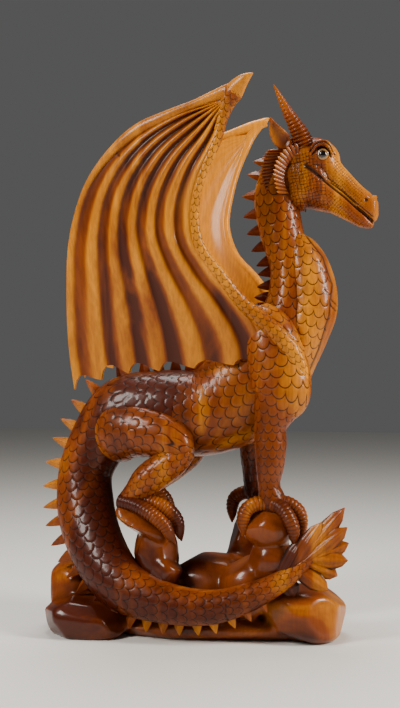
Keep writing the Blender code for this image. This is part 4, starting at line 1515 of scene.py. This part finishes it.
class DRAGON_OT_rocks(CarvePiece, bpy.types.Operator):
    """Carve the rocks of the base"""

    bl_idname = "dragon.rocks"
    bl_label = "Rock base"

    def execute(self, context):
        rocks = [(place, ROUND_CUT) for place in ROUND_ROCKS]
        rocks += [(place, FACETED_CUT) for place in FACETED_ROCKS]
        shapes = [rock(place, seed, depths) for seed, (place, depths) in enumerate(rocks)]
        made = remeshed(together("rock_base", shapes), sizes().rock_step)
        softened(made, 3)
        shade_hollows(made, 0.02, rounds=6)
        in_one_tone(made, ROCK_TONE)
        finish(made, rock_wood())
        return {"FINISHED"}


def area_light(name, place, target, size, power, tint):
    data = bpy.data.lights.new(name, "AREA")
    data.shape = "RECTANGLE"
    data.size, data.size_y = size
    data.energy = power
    data.color = tint
    made = linked(name, data)
    made.location = place
    made.rotation_euler = (Vector(target) - Vector(place)).to_track_quat("-Z", "Y").to_euler()
    return made


class DRAGON_OT_stage(CarvePiece, bpy.types.Operator):
    """Lay the floor and set the lights and the camera"""

    bl_idname = "dragon.stage"
    bl_label = "Stage"

    def execute(self, context):
        scene = context.scene
        mesh = bpy.data.meshes.new("floor")
        corners = [(x * FLOOR_REACH, y * FLOOR_REACH, 0) for x, y in ((-1, -1), (1, -1), (1, 1), (-1, 1))]
        mesh.from_pydata(corners, [], [(0, 1, 2, 3)])
        floor = linked("floor", mesh)
        paper, tree, shader = blank_material("matt_paper")
        plug(tree, shader, {"Base Color": (*colours().floor, 1), "Roughness": 0.9})
        mesh.materials.append(paper)
        lamps = [area_light(*lamp) for lamp in LAMPS]
        world = bpy.data.worlds.new("studio")
        world.use_nodes = True
        tree = world.node_tree
        plug(tree, tree.nodes["Background"], {"Color": (0.8, 0.8, 0.8, 1), "Strength": 0.12})
        scene.world = world
        data = bpy.data.cameras.new("camera")
        data.sensor_fit = "VERTICAL"
        data.sensor_height = SENSOR
        data.lens = SENSOR * FOCAL_PIXELS / PHOTO_HEIGHT
        camera = linked("camera", data)
        far = CAMERA_FAR * UNIT
        up = (CAMERA_UP - DRAWN_GROUND) * UNIT
        camera.location = (far * math.sin(CAMERA_TURN), -far * math.cos(CAMERA_TURN), up)
        camera.rotation_euler = (math.pi / 2, 0.0, CAMERA_TURN)
        scene.camera = camera
        return {"FINISHED"}


OPERATORS = (
    DRAGON_OT_body,
    DRAGON_OT_tail,
    DRAGON_OT_legs,
    DRAGON_OT_feet,
    DRAGON_OT_head,
    DRAGON_OT_eyes,
    DRAGON_OT_horns,
    DRAGON_OT_frill,
    DRAGON_OT_wings,
    DRAGON_OT_spikes,
    DRAGON_OT_fin,
    DRAGON_OT_rocks,
    DRAGON_OT_stage,
)


class DRAGON_PT_carving(bpy.types.Panel):
    """Sizes, colours and steps of the carving"""

    bl_label = "Carved dragon"
    bl_idname = "DRAGON_PT_carving"
    bl_space_type = "VIEW_3D"
    bl_region_type = "UI"
    bl_category = "Dragon"

    def draw(self, context):
        for operator in OPERATORS:
            self.layout.operator(operator.bl_idname)
        for group in (context.scene.dragon_sizes, context.scene.dragon_colours):
            box = self.layout.box()
            for name in group.__annotations__:
                box.prop(group, name)


CLASSES = (DragonSizes, DragonColours, *OPERATORS, DRAGON_PT_carving)


def register():
    for cls in CLASSES:
        bpy.utils.register_class(cls)
    bpy.types.Scene.dragon_sizes = bpy.props.PointerProperty(type=DragonSizes)
    bpy.types.Scene.dragon_colours = bpy.props.PointerProperty(type=DragonColours)


def unregister():
    del bpy.types.Scene.dragon_colours
    del bpy.types.Scene.dragon_sizes
    for cls in reversed(CLASSES):
        bpy.utils.unregister_class(cls)


def main():
    register()
    for operator in OPERATORS:
        group, name = operator.bl_idname.split(".")
        getattr(getattr(bpy.ops, group), name)()
    bpy.context.view_layer.update()


if __name__ == "__main__":
    main()
